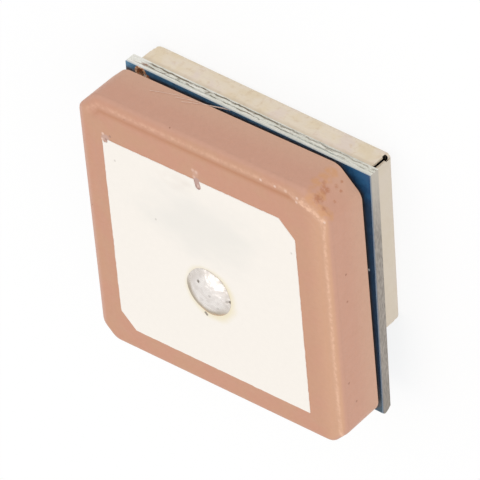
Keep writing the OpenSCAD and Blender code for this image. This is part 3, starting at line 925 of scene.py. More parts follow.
@dataclass(frozen=True)
class Solder(Finish):
    """Tin solder: bright, a little frosted, with painted shade on its lower left rim and dark specks of
    scorched flux.
    """

    placement: ClassVar[Placement] = ANTENNA
    tin: Colour = paint(232, 226, 221)
    frost: Colour = paint(219, 212, 207)
    # Painted shade on the dome's lower left rim.
    burnt_mark_and_rim_shade: Colour = paint(172, 158, 138)
    tan: Colour = paint(204, 170, 134)
    rim_shade_side: Point = (-0.45, -0.9, 0.0)
    rim_shade_reach: Band = (1.5, 2.15)
    tan_side: Point = (0.1, -1.0, 0.0)
    tan_reach: Band = (2.06, 2.32)
    dark_specks: Spots = Spots(paint(122, 113, 101), 0.9, (0.19, 0.19, 1.5), (
        (-1.27, -1.57, 8.2), (1.66, -2.53, 8.2)))
    faint_specks: Spots = Spots(paint(122, 113, 101), 0.35, (0.19, 0.19, 1.5), (
        (-0.13, -2.48, 8.2), (0.45, -3.58, 8.2), (0.9, -0.88, 8.2), (-2.4, -1.5, 8.2), (1.4, -2.6, 8.2)))
    ripple_mm: float = 0.35
    relief_mm: float = 0.05

    def wire(self, coat: Coat) -> None:
        """Wires the frosted grain, the painted shade on the rim and the specks.

        Args:
            coat: The wiring of the finish.
        """
        frost = coat.ease(coat.grain(0.5, 4.0), 0.4, 0.62)
        colour = coat.blend(frost, self.tin, self.frost)
        out = coat.vector("SUBTRACT", coat.spot, (*FEED_IN_ANTENNA, DOME_FOOT))
        away = coat.scaled(coat.grain(0.6), 0.3, coat.vector("LENGTH", out))
        # Painted shade on the rim, on the side away from the light.
        burnt_mark_and_rim_shade = coat.scaled(coat.ease(coat.vector("DOT_PRODUCT", out, self.rim_shade_side), -0.4, 1.6), 0.8, 0.2)
        colour = coat.lay(colour, self.burnt_mark_and_rim_shade, coat.times(coat.ease(away, *self.rim_shade_reach), burnt_mark_and_rim_shade))
        below = coat.ease(coat.vector("DOT_PRODUCT", out, self.tan_side), 1.4, 2.0)
        colour = coat.lay(colour, self.tan, coat.times(coat.ease(away, *self.tan_reach), below), 0.8)
        specks = self.specks(coat, coat.pits(0.8, 0.06, 0.25), self.faint_specks, self.dark_specks)
        colour = coat.lay(colour, self.dark_specks.tone, specks, self.dark_specks.strength)
        relief = coat.math("SUBTRACT", coat.grain(self.ripple_mm, 3.0), specks)
        coat.close(colour, relief, self.relief_mm, coat.scaled(frost, 0.16, 0.26))


@dataclass(frozen=True)
class Tinplate(Finish):
    """Rolled tinplate, satin, with a faint yellow and pink bloom, a painted reflection on the right wall and
    rolling lines.
    """

    tin: Colour = paint(230, 217, 198)
    yellow: Colour = paint(228, 213, 188)
    pink: Colour = paint(226, 211, 198)
    stain: Colour = paint(215, 194, 166)
    # Painted reflection: the right wall is paler and less yellow.
    right_wall_light: Colour = paint(217, 206, 190)
    foot: Colour = paint(206, 190, 168)
    right_wall_band: Band = (11.3, 11.6)
    foot_levels: Band = (1.8, 2.1)
    rolling: Point = (4.0, 0.12, 0.12)
    relief_mm: float = 0.006

    def wire(self, coat: Coat) -> None:
        """Wires the bloom, the stains and the rolling lines.

        Args:
            coat: The wiring of the finish.
        """
        bloom = coat.grain(1.8, 3.0)
        colour = coat.blend(coat.ease(bloom, 0.5, 0.66), self.tin, self.yellow)
        colour = coat.lay(colour, self.pink, coat.ease(bloom, 0.5, 0.34))
        colour = coat.lay(colour, self.stain, coat.ease(coat.grain(0.5, 4.0), 0.5, 0.75), 0.6)
        # Painted reflection on the right wall.
        colour = coat.lay(colour, self.right_wall_light, coat.ease(coat.along("X"), *self.right_wall_band), 0.85)
        at_foot = coat.ease(coat.along("Z"), *self.foot_levels)
        colour = coat.lay(colour, self.foot, coat.times(at_foot, coat.grain(1.2)))
        lines = coat.streaks(self.rolling)
        colour = coat.blend(1.0, colour, coat.scaled(lines, 0.08, 0.96), "MULTIPLY")
        relief = coat.scaled(coat.grain(2.2), 4.0, lines)
        coat.close(colour, relief, self.relief_mm, coat.scaled(bloom, 0.3, 0.32))


@dataclass(frozen=True)
class Crack:
    """A crack along a snapped edge: its level, its gaps, its half-width and where its noise starts."""

    level: float
    gaps: float
    half_width: float
    phase: float


@dataclass(frozen=True)
class Laminate(Finish):
    """Glass-fibre board: blue mask on its faces, pale snapped edges and grey routed edges."""

    mask: Colour = paint(46, 98, 142)
    deep_mask: Colour = paint(36, 80, 122)
    # Painted shade under the block, and a painted lighter strip under its top edge.
    navy: Colour = paint(46, 66, 90)
    teal: Colour = paint(40, 78, 92)
    shaded: Colour = paint(66, 60, 60)
    strip_light: Colour = paint(104, 150, 174)
    border: Colour = paint(188, 206, 212)
    resin: Colour = paint(224, 224, 212)
    bundle: Colour = paint(240, 237, 226)
    glint: Colour = paint(252, 251, 245)
    crack: Colour = paint(134, 122, 102)
    routed: Colour = paint(173, 165, 156)
    routed_dark: Colour = paint(146, 139, 131)
    routed_end: Colour = paint(197, 190, 178)
    routed_low: Colour = paint(138, 130, 118)
    lit: Spots = Spots(paint(72, 132, 172), 1.0, (2.6, 2.0, 1.0), ((-12.4, 12.2, 3.3),), 0.9, 0.4)
    copper_spill: Spots = Spots(paint(186, 118, 80), 1.0, (0.34, 0.2, 0.3), ((-9.98, 11.45, 3.3),), 0.5)
    copper_glint: Spots = Spots(paint(255, 238, 218), 1.0, (0.2, 0.14, 0.2), ((-10.12, 11.48, 3.3),), 0.5)
    white_speck: Spots = Spots(WHITE, 1.0, (0.1, 0.15, 0.2), ((11.5, 2.4, 3.3),), 0.5)
    # A scorched brown mark on the snapped edge near the hole.
    burnt_mark_and_rim_shade: Spots = Spots(paint(150, 106, 78), 0.9, (0.5, 0.4, 0.24), ((-10.45, 12.1, 2.86),), 0.8, 1.0)
    cracks: tuple[Crack, ...] = (Crack(2.88, 0.42, 0.1, 0.0), Crack(2.71, 0.54, 0.06, 31.0),
                                 Crack(2.53, 0.33, 0.135, 57.0))
    crack_wander: float = 0.42
    strands_x: Point = (1.6, 0.3, 0.075)
    strands_y: Point = (0.3, 0.5, 0.11)
    mask_overlap: Band = (3.08, 3.38)
    front_levels: Band = (2.8, 3.2)
    relief_mm: float = 0.04

    def wire(self, coat: Coat) -> None:
        """Wires the mask, the border and the two kinds of edge, chosen by the kind stored on each face.

        Args:
            coat: The wiring of the finish.
        """
        weave = coat.grain(0.7, 3.0)
        colour = coat.blend(coat.ease(weave, 0.4, 0.62), self.mask, self.deep_mask)
        colour = self._under_block(coat, self.lit.lay(coat, colour))
        for spots in (self.copper_spill, self.copper_glint, self.white_speck):
            colour = spots.lay(coat, colour)
        colour = coat.blend(self._from(coat, Surface.BORDER), colour, self.border)
        along_x = coat.streaks(self.strands_x)
        on_edge = self._from(coat, Surface.SNAPPED)
        colour = coat.blend(on_edge, colour, self._snapped(coat, along_x))
        along_y = coat.streaks(self.strands_y)
        on_routed = self._from(coat, Surface.ROUTED)
        colour = coat.blend(on_routed, colour, self._routed(coat, along_y))
        at_front = coat.ease(coat.along("Z"), *self.mask_overlap)
        drawn_over = coat.times(at_front, coat.scaled(on_routed, 0.4, 0.55))
        colour = coat.lay(colour, self.mask, coat.times(drawn_over, on_edge))
        strands = coat.times(coat.math("ADD", along_x, along_y), on_edge)
        coat.close(colour, coat.scaled(weave, 0.15, strands), self.relief_mm,
                   coat.scaled(on_edge, 0.4, self.roughness))

    @staticmethod
    def _from(coat: Coat, kind: Surface) -> Socket:
        """Gives a mask of a kind of surface and of those after it."""
        half_step = Surface.BORDER.value / 2
        return coat.math("GREATER_THAN", coat.attribute("surface"), kind.value - half_step)

    def _under_block(self, coat: Coat, colour: Socket) -> Socket:
        """Lays painted shade under the block's overhanging edges over a colour, with a painted lighter strip
        at the top.

        Args:
            coat: The wiring of the finish.
            colour: The mask's colour.

        Returns:
            The colour.
        """
        spot = coat.place(ANTENNA)
        x = coat.axis(spot, "X")
        y = coat.axis(spot, "Y")
        block = CeramicBlock()
        half = block.side / 2
        from_top = coat.math("SUBTRACT", half, y)
        # Painted shade: navy along the right strip and teal at the bottom, where the block shades the board.
        right = coat.times(coat.ease(x, 11.2, 11.9), coat.ease(y, 9.8, 8.8))
        under_block_light_and_shade = coat.lay(colour, self.navy, right, 0.75)
        under_block_light_and_shade = coat.lay(under_block_light_and_shade, self.teal, coat.ease(y, -9.4, -10.8), 0.65)
        # Painted shade, darkest just under the block's edges and cuts.
        dark = coat.ease(coat.math("SUBTRACT", half, x), 0.26, 0.58)
        dark = coat.math("MINIMUM", dark, coat.ease(from_top, 0.3, 0.68))
        for corner, start, run in ((block.corners[0], 0.4, 0.6), (block.corners[3], -0.27, 0.15)):
            reach = coat.math("SUBTRACT", coat.scaled(y, -corner.y, block.side - corner.leg), x)
            reach = coat.times(reach, math.sqrt(0.5))
            dark = coat.math("MINIMUM", dark, coat.ease(reach, start, start + run))
        under_block_light_and_shade = coat.lay(under_block_light_and_shade, self.shaded, dark, 0.95)
        # Painted light: a lighter, greyer strip under the block's top edge.
        strip = coat.times(coat.ease(from_top, 0.6, 0.3), coat.ease(x, 9.5, 8.0))
        under_block_light_and_shade = coat.lay(under_block_light_and_shade, self.strip_light, strip, 0.24)
        return coat.blend(coat.ease(coat.axis(spot, "Z"), *self.front_levels), colour, under_block_light_and_shade)

    def _snapped(self, coat: Coat, along: Socket) -> Socket:
        """Gives the colour of a snapped edge: pale resin and fibres, ragged cracks and a scorched spot.

        Args:
            coat: The wiring of the finish.
            along: Grain drawn out along the edge.

        Returns:
            The colour.
        """
        colour = coat.blend(coat.ease(along, 0.42, 0.58), self.resin, self.bundle)
        colour = coat.lay(colour, self.glint, coat.ease(along, 0.6, 0.7))
        height = coat.along("Z")
        x = coat.along("X")
        shown = coat.times(coat.scaled(coat.ease(x, 0.0, 7.0), -0.4, 1.0), coat.ease(x, -11.0, -9.9))
        for crack in self.cracks:
            moved = coat.vector("ADD", coat.spot, (crack.phase, 0.0, 0.0))
            wander = coat.streaks((0.9, 4.0, 4.0), moved)
            broken = coat.streaks((0.8, 4.0, 0.35), moved)
            middle = coat.scaled(wander, self.crack_wander, crack.level - self.crack_wander / 2)
            away = coat.math("ABSOLUTE", coat.math("SUBTRACT", height, middle))
            line = coat.math("SUBTRACT", 1.0, coat.ease(away, 0.02, crack.half_width))
            line = coat.times(line, coat.ease(broken, crack.gaps, crack.gaps + 0.14), shown)
            colour = coat.lay(colour, self.crack, line)
        colour = coat.lay(colour, self.glint, coat.ease(x, -10.0, -10.5), 0.6)
        return self.burnt_mark_and_rim_shade.lay(coat, colour)

    def _routed(self, coat: Coat, along: Socket) -> Socket:
        """Gives the colour of a routed edge: grey, paler at its top end and darker at its low end.

        Args:
            coat: The wiring of the finish.
            along: Grain drawn out along the edge.

        Returns:
            The colour.
        """
        y = coat.along("Y")
        colour = coat.blend(coat.ease(along, 0.36, 0.64), self.routed_dark, self.routed)
        colour = coat.lay(colour, self.routed_end, coat.ease(y, 5.0, 12.0))
        return coat.lay(colour, self.routed_low, coat.ease(y, -8.0, -12.0), 0.5)


@dataclass(frozen=True)
class Grained(Finish):
    """A plain finish with two tones, fine grain and specks: resin, foam, nylon, glass or plated metal."""

    tone: Colour = (0.5, 0.5, 0.5)
    second: Colour = (0.4, 0.4, 0.4)
    grain_mm: float = 0.2
    stretch: Point = (1.0, 1.0, 1.0)
    relief_mm: float = 0.01
    glints: tuple[Spots, ...] = ()

    def wire(self, coat: Coat) -> None:
        """Wires the two tones, the specks and the grain.

        Args:
            coat: The wiring of the finish.
        """
        grain = coat.streaks(tuple(self.grain_mm * share for share in self.stretch))
        colour = coat.blend(coat.ease(grain, 0.35, 0.65), self.tone, self.second)
        specks = coat.pits(0.7, 0.06, 0.3)
        colour = coat.lay(coat.mottled(colour, 1.4, 0.05), self.second, specks, 0.5)
        for glint in self.glints:
            colour = glint.lay(coat, colour)
        relief = coat.math("SUBTRACT", grain, specks)
        coat.close(colour, relief, self.relief_mm, coat.scaled(grain, 0.2, self.roughness - 0.1))


@dataclass(frozen=True)
class Palette:
    """Every finish of the module, as built materials."""

    ceramic: Material
    silver: Material
    solder: Material
    tinplate: Material
    laminate: Material
    foam: Material
    copper: Material
    resin: Material
    lid: Material
    steel: Material
    capacitor: Material
    inductor: Material
    nylon: Material
    brass: Material
    glass: Material

    @classmethod
    def mixed(cls) -> "Palette":
        """Builds every material of the module.

        Returns:
            The palette.
        """
        effects = Effects()
        copper_glint = Spots(paint(255, 244, 228), 1.0, (0.18,) * 3, ((-10.15, 11.46, 3.3),))
        finishes = {
            "ceramic": FiredCeramic("fired_ceramic", 0.5),
            "silver": FiredSilver("fired_silver", 0.55, 0.25),
            "solder": Solder("tin_solder", 0.3, 0.9),
            "tinplate": Tinplate("rolled_tinplate", 0.42, 0.9),
            "laminate": Laminate("glass_fibre_board", 0.35),
            "foam": Grained("foam_tape", 0.95, 0.0, paint(34, 34, 36), paint(18, 18, 19), 0.12,
                            relief_mm=0.08),
            "copper": Grained("bare_copper", 0.4, 0.4, paint(244, 204, 168), paint(190, 122, 76), 0.22,
                              relief_mm=0.02, glints=(copper_glint,)),
            "resin": Grained("moulded_resin", 0.6, 0.0, paint(38, 38, 40), paint(28, 28, 30), 0.1,
                             relief_mm=0.008),
            "lid": Grained("plated_lid", 0.38, 0.85, paint(196, 190, 172), paint(178, 172, 156), 0.1,
                           (12.0, 1.0, 1.0), 0.004),
            "steel": Grained("nickel_plated_steel", 0.34, 0.9, paint(198, 198, 196), paint(176, 176, 175),
                             0.08, (1.0, 14.0, 1.0), 0.004),
            "capacitor": Grained("capacitor_ceramic", 0.5, 0.0, paint(172, 143, 112), paint(150, 122, 94)),
            "inductor": Grained("inductor_ceramic", 0.5, 0.0, paint(112, 139, 152), paint(92, 118, 132)),
            "nylon": Grained("natural_nylon", 0.5, 0.0, paint(228, 221, 200), paint(219, 211, 188), 0.3),
            "brass": Grained("tinned_brass", 0.3, 0.9, paint(216, 200, 160), paint(196, 176, 132), 0.1,
                             (1.0, 10.0, 1.0), 0.004),
            "glass": Grained("glass_fibre", 0.4, 0.0, paint(236, 212, 196), paint(228, 200, 184),
                             relief_mm=0.002),
        }
        return cls(**{name: finish.material(effects) for name, finish in finishes.items()})


@dataclass(frozen=True)
class Corner:
    """A cut corner of the block: which one, and the leg of its cut in millimetres."""

    x: int
    y: int
    leg: float

    def holds(self, edge: bmesh.types.BMEdge, half: float) -> bool:
        """Tells whether an upright edge stands at this corner of a square."""
        spot = edge.verts[0].co
        return abs(spot.x - self.x * half) < TINY and abs(spot.y - self.y * half) < TINY


@dataclass
class CeramicBlock:
    """The antenna's pressed block: cut corners and a rounded front rim with a shallow groove inside it."""

    side: float = 25.0
    rim_run: float = 0.85
    rim_drop: float = 0.45
    low_rim_run: float = 0.6
    low_rim_drop: float = 0.3
    back_round: float = 0.03
    blend: float = 1.2
    groove_steps: tuple[Band, ...] = ((0.15, -0.006), (0.2, -0.024), (0.2, -0.015), (0.2, 0.012),
                                      (0.15, 0.023), (0.1, 0.01))
    merge: float = 0.16
    line_width: float = 0.22
    cut_widening: float = 0.1
    cut_highlight_boost: float = 0.5
    top_highlight: float = 0.6
    groove_end: float = 9.5
    groove_fade: float = 0.66
    right_zone: float = 2.5
    right_narrowing: float = 0.27
    right_fade: float = 2.0
    slant_start: float = 8.6
    slant_ends: Band = (0.72, -0.2)
    slant_limit: float = 1.2
    corners: tuple[Corner, ...] = (Corner(1, 1, 2.1), Corner(-1, 1, 1.75), Corner(-1, -1, 1.25),
                                   Corner(1, -1, 1.7))

    def build(self) -> Piece:
        """Models the block.

        Returns:
            The block, in place.
        """
        half = self.side / 2
        middle = (BLOCK_BACK + BLOCK_FRONT) / 2
        thickness = BLOCK_FRONT - BLOCK_BACK
        block = Bench.block("ceramic_body", (self.side, self.side, thickness), (0, 0, middle))
        for corner in self.corners:
            Bench.pick(Pick.EDGES, lambda edge: Bench.upright(edge) and corner.holds(edge, half))
            bpy.ops.mesh.bevel(offset=corner.leg, segments=1, affect="EDGES")
        Bench.pick(Pick.EDGES, Bench.upright)
        bpy.ops.mesh.bevel(offset=self.blend * math.tan(math.pi / 8), segments=6, affect="EDGES")
        Bench.pick(Pick.EDGES, lambda edge: Bench.on_level(edge, BLOCK_FRONT))
        bpy.ops.mesh.bevel(offset=self.rim_run, segments=10, affect="EDGES")
        Bench.pick(Pick.VERTS, lambda vert: vert.co.z > BLOCK_BACK + TINY)
        flatten = self.rim_drop / self.rim_run
        bpy.ops.transform.resize(value=(1, 1, flatten), center_override=(0, 0, BLOCK_FRONT))
        Bench.pick(Pick.EDGES, lambda edge: Bench.on_level(edge, BLOCK_BACK))
        bpy.ops.mesh.bevel(offset=self.back_round, segments=2, affect="EDGES")
        height = BLOCK_FRONT
        large = half * half
        for width, rise in self.groove_steps:
            Bench.pick(Pick.FACES, lambda face: Bench.flat_on(face, height) and face.calc_area() > large)
            bpy.ops.mesh.inset(thickness=width, depth=rise)
            bpy.ops.mesh.remove_doubles(threshold=self.merge)
            height += rise
        start = (self.slant_start, self.slant_start, 0)
        for normal in ((1, 0, 0), (0, 1, 0)):
            Bench.pick_all(Pick.FACES)
            bpy.ops.mesh.bisect(plane_co=start, plane_no=normal, threshold=TINY)
        Bench.clear()
        self._mark_rim(block)
        self._draw_rim(block)
        drill = Bench.rod("feed_drill", PIN_HOLE_RADIUS, 2 * thickness, (*FEED_IN_ANTENNA, middle))
        Bench.cut(block, drill)
        return Bench.finish(block, 40, ANTENNA)

    def _inside(self, spot: Vector) -> tuple[float, Vector]:
        """Gives how far a point lies inside the nearest side or cut, and that side's direction.

        Args:
            spot: The point in the antenna's frame.

        Returns:
            The distance and the direction.
        """
        half = self.side / 2
        walls = [(half - spot.x, Vector((1, 0))), (half + spot.x, Vector((-1, 0))),
                 (half - spot.y, Vector((0, 1))), (half + spot.y, Vector((0, -1)))]
        for corner in self.corners:
            facing = Vector((corner.x, corner.y)) * math.sqrt(0.5)
            reach = (self.side - corner.leg) * math.sqrt(0.5)
            walls.append((reach - facing.dot(spot.xy), facing))
        return min(walls, key=lambda wall: wall[0])

    def _mark_rim(self, block: Piece) -> None:
        """Stores on each point how much painted highlight it gets on the crest and painted shade in the
        groove, at the top and right.

        Args:
            block: The block in the antenna's frame.
        """
        for name in ("crest", "groove"):
            block.data.attributes.new(name, "FLOAT", "POINT")
        crests = block.data.attributes["crest"]
        grooves = block.data.attributes["groove"]
        groove_at = self.rim_run + sum(width for width, rise in self.groove_steps if rise < 0)
        for vert, crest, groove in zip(block.data.vertices, crests.data, grooves.data):
            if vert.co.z < BLOCK_FRONT - self.rim_drop:
                continue
            inside, facing = self._inside(vert.co)
            to_top = max(facing.y, 0.0)
            to_right = max(facing.x, 0.0)
            at_cut = 2 * to_top * to_right
            width = self.line_width + self.cut_widening * at_cut
            # Painted highlight on the crest: strongest at the right and at the top right cut.
            highlight_weight = min(1.0, self.top_highlight * to_top + to_right) * (1 + self.cut_highlight_boost * at_cut)
            crest.value = math.exp(-(((inside - self.rim_run) / width) ** 2)) * highlight_weight
            # Painted shade in the groove: only at the top, fading out towards the right.
            deep = max(0.0, to_top - to_right) * clamp((self.groove_end - vert.co.x) / self.groove_fade)
            groove.value = math.exp(-(((inside - groove_at) / self.line_width) ** 2)) * deep

    def _draw_rim(self, block: Piece) -> None:
        """Draws the rim as it is here: smaller at the left and bottom, narrower at the right, slanting.

        Args:
            block: The block in the antenna's frame.
        """
        half = self.side / 2
        for vert in block.data.vertices:
            if vert.co.z < BLOCK_FRONT - self.rim_drop - TINY:
                continue
            x, y = vert.co.xy
            inside, facing = self._inside(vert.co)
            inward = min(1.0, inside / self.rim_run)
            lower_left = clamp(0.5 - (x + y) / (2 * self.corners[1].leg))
            if inside < self.rim_run + TINY:
                vert.co.z += (BLOCK_FRONT - vert.co.z) * lower_left * (1 - self.low_rim_drop / self.rim_drop)
            outward = facing * inward * lower_left * (self.rim_run - self.low_rim_run)
            slant = self._slant(x, y) * inward * math.sqrt(0.5)
            narrowing = 0.0
            if inside > TINY and x > half - self.right_zone:
                fading = clamp(0.5 + (x - abs(y)) / (2 * self.right_fade))
                narrowing = (half - x) * self.right_narrowing * fading
            vert.co.x = x + outward.x + narrowing - slant
            vert.co.y = y + outward.y - slant

    def _slant(self, x: float, y: float) -> float:
        """Gives how far the crest is drawn in at the top right cut, more at one end than at the other.

        Args:
            x: The point's place to the right.
            y: The point's place to the top.

        Returns:
            The distance in millimetres, which is 0 away from the cut.
        """
        half = self.side / 2
        corner = half - self.corners[0].leg - self.rim_run * math.tan(math.pi / 8)
        slant_run = half - self.rim_run - corner
        nearness = [clamp((reach - self.slant_start) / (corner - self.slant_start)) for reach in (x, y)]
        along = min(self.slant_limit, max(-self.slant_limit, (x - y) / slant_run))
        top_end, right_end = self.slant_ends
        return (top_end + right_end + (right_end - top_end) * along) / 2 * math.prod(nearness)

    def dress(self, palette: Palette) -> None:
        """Builds the block and hands it over."""
        Bench.hand_over(self.build(), palette.ceramic, "ceramic", "ceramic_block")


@dataclass
class RadiatingElectrode:
    """The printed silver on the front: two cut corners, a tuning slot, a nick and a slightly uneven edge."""

    width: float = 19.1
    height: float = 18.9
    shift_x: float = -0.63
    shift_y: float = -0.9
    cut_high: float = 1.5
    cut_low: float = 1.4
    uneven: float = 0.035
    edge_steps: int = 60
    slot_width: float = 0.55
    slot_length: float = 0.85
    slot_x: float = -0.06
    slot_lean_deg: float = 12.0
    slot_round_share: float = 0.49
    nick_radius: float = 0.36
    nick_x: float = 0.26
    nick_uneven: float = 0.105

    def build(self) -> Piece:
        """Models the silver layer.

        Returns:
            The layer, in place.
        """
        centre = (self.shift_x, self.shift_y, SILVER_BACK)
        Bench.clear()
        bpy.ops.mesh.primitive_plane_add(size=1, location=centre)
        bpy.context.object.scale = (self.width, self.height, 1)
        layer = Bench.keep("silver_face")
        for sign, leg in ((1, self.cut_high), (-1, self.cut_low)):
            Bench.pick(Pick.VERTS, lambda vert: self._at_corner(vert, sign))
            bpy.ops.mesh.bevel(offset=leg, segments=1, affect="VERTICES")
        Bench.pick(Pick.EDGES, lambda edge: edge.calc_length() > 2 * self.cut_high)
        bpy.ops.mesh.subdivide(number_cuts=self.edge_steps)
        Bench.roughen(self.uneven, 3)
        bpy.ops.transform.resize(value=(1, 1, 0), center_override=centre)
        Bench.pick_all(Pick.FACES)
        Bench.raise_picked(SILVER_FRONT - SILVER_BACK)
        Bench.outward()
        for cutter in self._cutters():
            Bench.cut(layer, cutter)
        return Bench.finish(layer, 30, ANTENNA)

    def _at_corner(self, vert: bmesh.types.BMVert, sign: int) -> bool:
        """Tells whether a point is the top right corner, or the bottom left one for a sign of -1.

        Args:
            vert: The point.
            sign: 1 or -1.

        Returns:
            Whether it is.
        """
        right = self.shift_x + sign * self.width / 2
        top = self.shift_y + sign * self.height / 2
        return abs(vert.co.x - right) < TINY and abs(vert.co.y - top) < TINY

    def _cutters(self) -> list[Piece]:
        """Makes the shapes of the tuning slot, the nick and the feed hole.

        Returns:
            The cutters.
        """
        middle = (SILVER_BACK + SILVER_FRONT) / 2
        top = self.shift_y + self.height / 2
        left = self.shift_x - self.width / 2
        slot = Bench.block("slot_grinder", (self.slot_width, 2 * self.slot_length, 1), (0, 0, 0))
        Bench.pick(Pick.EDGES, Bench.upright)
        bpy.ops.mesh.bevel(offset=self.slot_width * self.slot_round_share, segments=6, affect="EDGES")
        Bench.roughen(self.uneven, 5)
        Bench.clear()
        slot.location = (self.shift_x + self.slot_x, top, middle)
        slot.rotation_euler = (0, 0, math.radians(self.slot_lean_deg))
        nick = Bench.rod("nick_grinder", self.nick_radius, 1, (left + self.nick_x, top, middle), 20)
        Bench.roughen(self.nick_uneven, 9)
        Bench.clear()
        drill = Bench.rod("feed_drill", PIN_HOLE_RADIUS, 1, (*FEED_IN_ANTENNA, middle))
        return [slot, nick, drill]

    def dress(self, palette: Palette) -> None:
        """Builds the layer and hands it over, and dresses the ground layer behind the block."""
        Bench.hand_over(self.build(), palette.silver, "fired_silver", "radiating_electrode")
        dress_node("ground_electrode", palette.silver)


@dataclass
class FeedJoint:
    """The feed pin's joint: a low, slightly lumpy solder dome that covers the pin's head."""

    diameter: float = 4.4
    rings: int = 9
    sides: int = 72
    head_radius: float = 1.1
    head_height: float = 0.22
    head_margin: float = 1.2
    foot_run: float = 0.08
    foot_waves: float = 0.7
    skin_dip: float = 0.05
    skin_waves: float = 1.3
    skin_start: float = 0.2

    def build(self) -> Piece:
        """Models the dome ring by ring from its foot.

        Returns:
            The dome, in place.
        """
        height = DOME_TOP - DOME_FOOT
        radius = self.diameter / 2
        sphere = (radius * radius + height * height) / (2 * height)
        Bench.clear()
        bpy.ops.mesh.primitive_circle_add(vertices=self.sides, radius=radius, fill_type="NGON",
                                          location=(*FEED_IN_ANTENNA, DOME_FOOT))
        dome = Bench.keep("feed_dome")
        Bench.pick_all(Pick.FACES)
        reached = radius
        risen = height / self.rings / 2
        Bench.raise_picked(risen)
        for step in range(1, self.rings):
            ring = radius * math.cos(math.pi / 2 * step / self.rings)
            rise = math.sqrt(sphere * sphere - ring * ring) - (sphere - height)
            bpy.ops.mesh.inset(thickness=reached - ring, depth=max(rise - risen, 0.0))
            reached = ring
            risen = max(rise, risen)
        Bench.outward()
        Bench.pick(Pick.FACES, lambda face: Bench.flat_on(face, DOME_FOOT) and face.normal.z < 0)
        bpy.ops.mesh.inset(thickness=radius - self.head_radius)
        Bench.raise_picked(self.head_height)
        Bench.clear()
        self._settle(dome)
        return Bench.finish(dome, 60, ANTENNA)

    def _settle(self, dome: Piece) -> None:
        """Lets the dome's skin and foot run unevenly, as set solder does, inside its full height.

        Args:
            dome: The dome in the antenna's frame.
        """
        foot = Vector((*FEED_IN_ANTENNA, DOME_FOOT))
        for vert in dome.data.vertices:
            out = vert.co - foot
            flat = Vector((out.x, out.y, 0))
            if flat.length > self.head_radius * self.head_margin:
                vert.co += flat.normalized() * noise.noise(vert.co * self.foot_waves) * self.foot_run
            if out.z > (DOME_TOP - DOME_FOOT) * self.skin_start:
                vert.co.z -= abs(noise.noise(vert.co * self.skin_waves)) * self.skin_dip

    def dress(self, palette: Palette) -> None:
        """Builds the dome and hands it over, and dresses the pin and the joint behind the board.

        Args:
            palette: The materials.
        """
        Bench.hand_over(self.build(), palette.solder, "solder", "front_solder")
        dress_node("feed_pin", palette.brass)
        dress_node("rear_solder", palette.solder)


@dataclass
class FoamTape:
    """The double-sided foam pad between block and board, squeezed so that its sides bulge."""

    side: float = 22.0
    corner: float = 0.4
    bulge: float = 0.09
    swells: tuple[Band, ...] = ((0.25, 0.75), (0.5, 1.0), (0.75, 0.75))
    hole_radius: float = 1.8

    def build(self) -> Piece:
        """Models the pad.

        Returns:
            The pad, in place.
        """
        low, high = level("adhesive_pad")
        full = self.side - 2 * self.bulge
        pad = Bench.block("foam_pad", (full, full, high - low), (0, 0, (low + high) / 2))
        Bench.pick(Pick.EDGES, Bench.upright)
        bpy.ops.mesh.bevel(offset=self.corner, segments=5, affect="EDGES")
        for share, swell in self.swells:
            Bench.slice_level(low + (high - low) * share)
        for share, swell in self.swells:
            height = low + (high - low) * share
            Bench.pick(Pick.VERTS, lambda vert: abs(vert.co.z - height) < TINY)
            grow = 1 + 2 * self.bulge * swell / full
            bpy.ops.transform.resize(value=(grow, grow, 1), center_override=(0, 0, height))
        Bench.clear()
        Bench.cut(pad, Bench.rod("pin_punch", self.hole_radius, 2, (*FEED_IN_ANTENNA, (low + high) / 2)))
        return Bench.finish(pad, 50, ANTENNA)

    def dress(self, palette: Palette) -> None:
        """Args:
            palette: The materials.
        """
        pad = self.build()
        Bench.hand_over(pad, palette.foam, "foam_tape", "adhesive_pad")


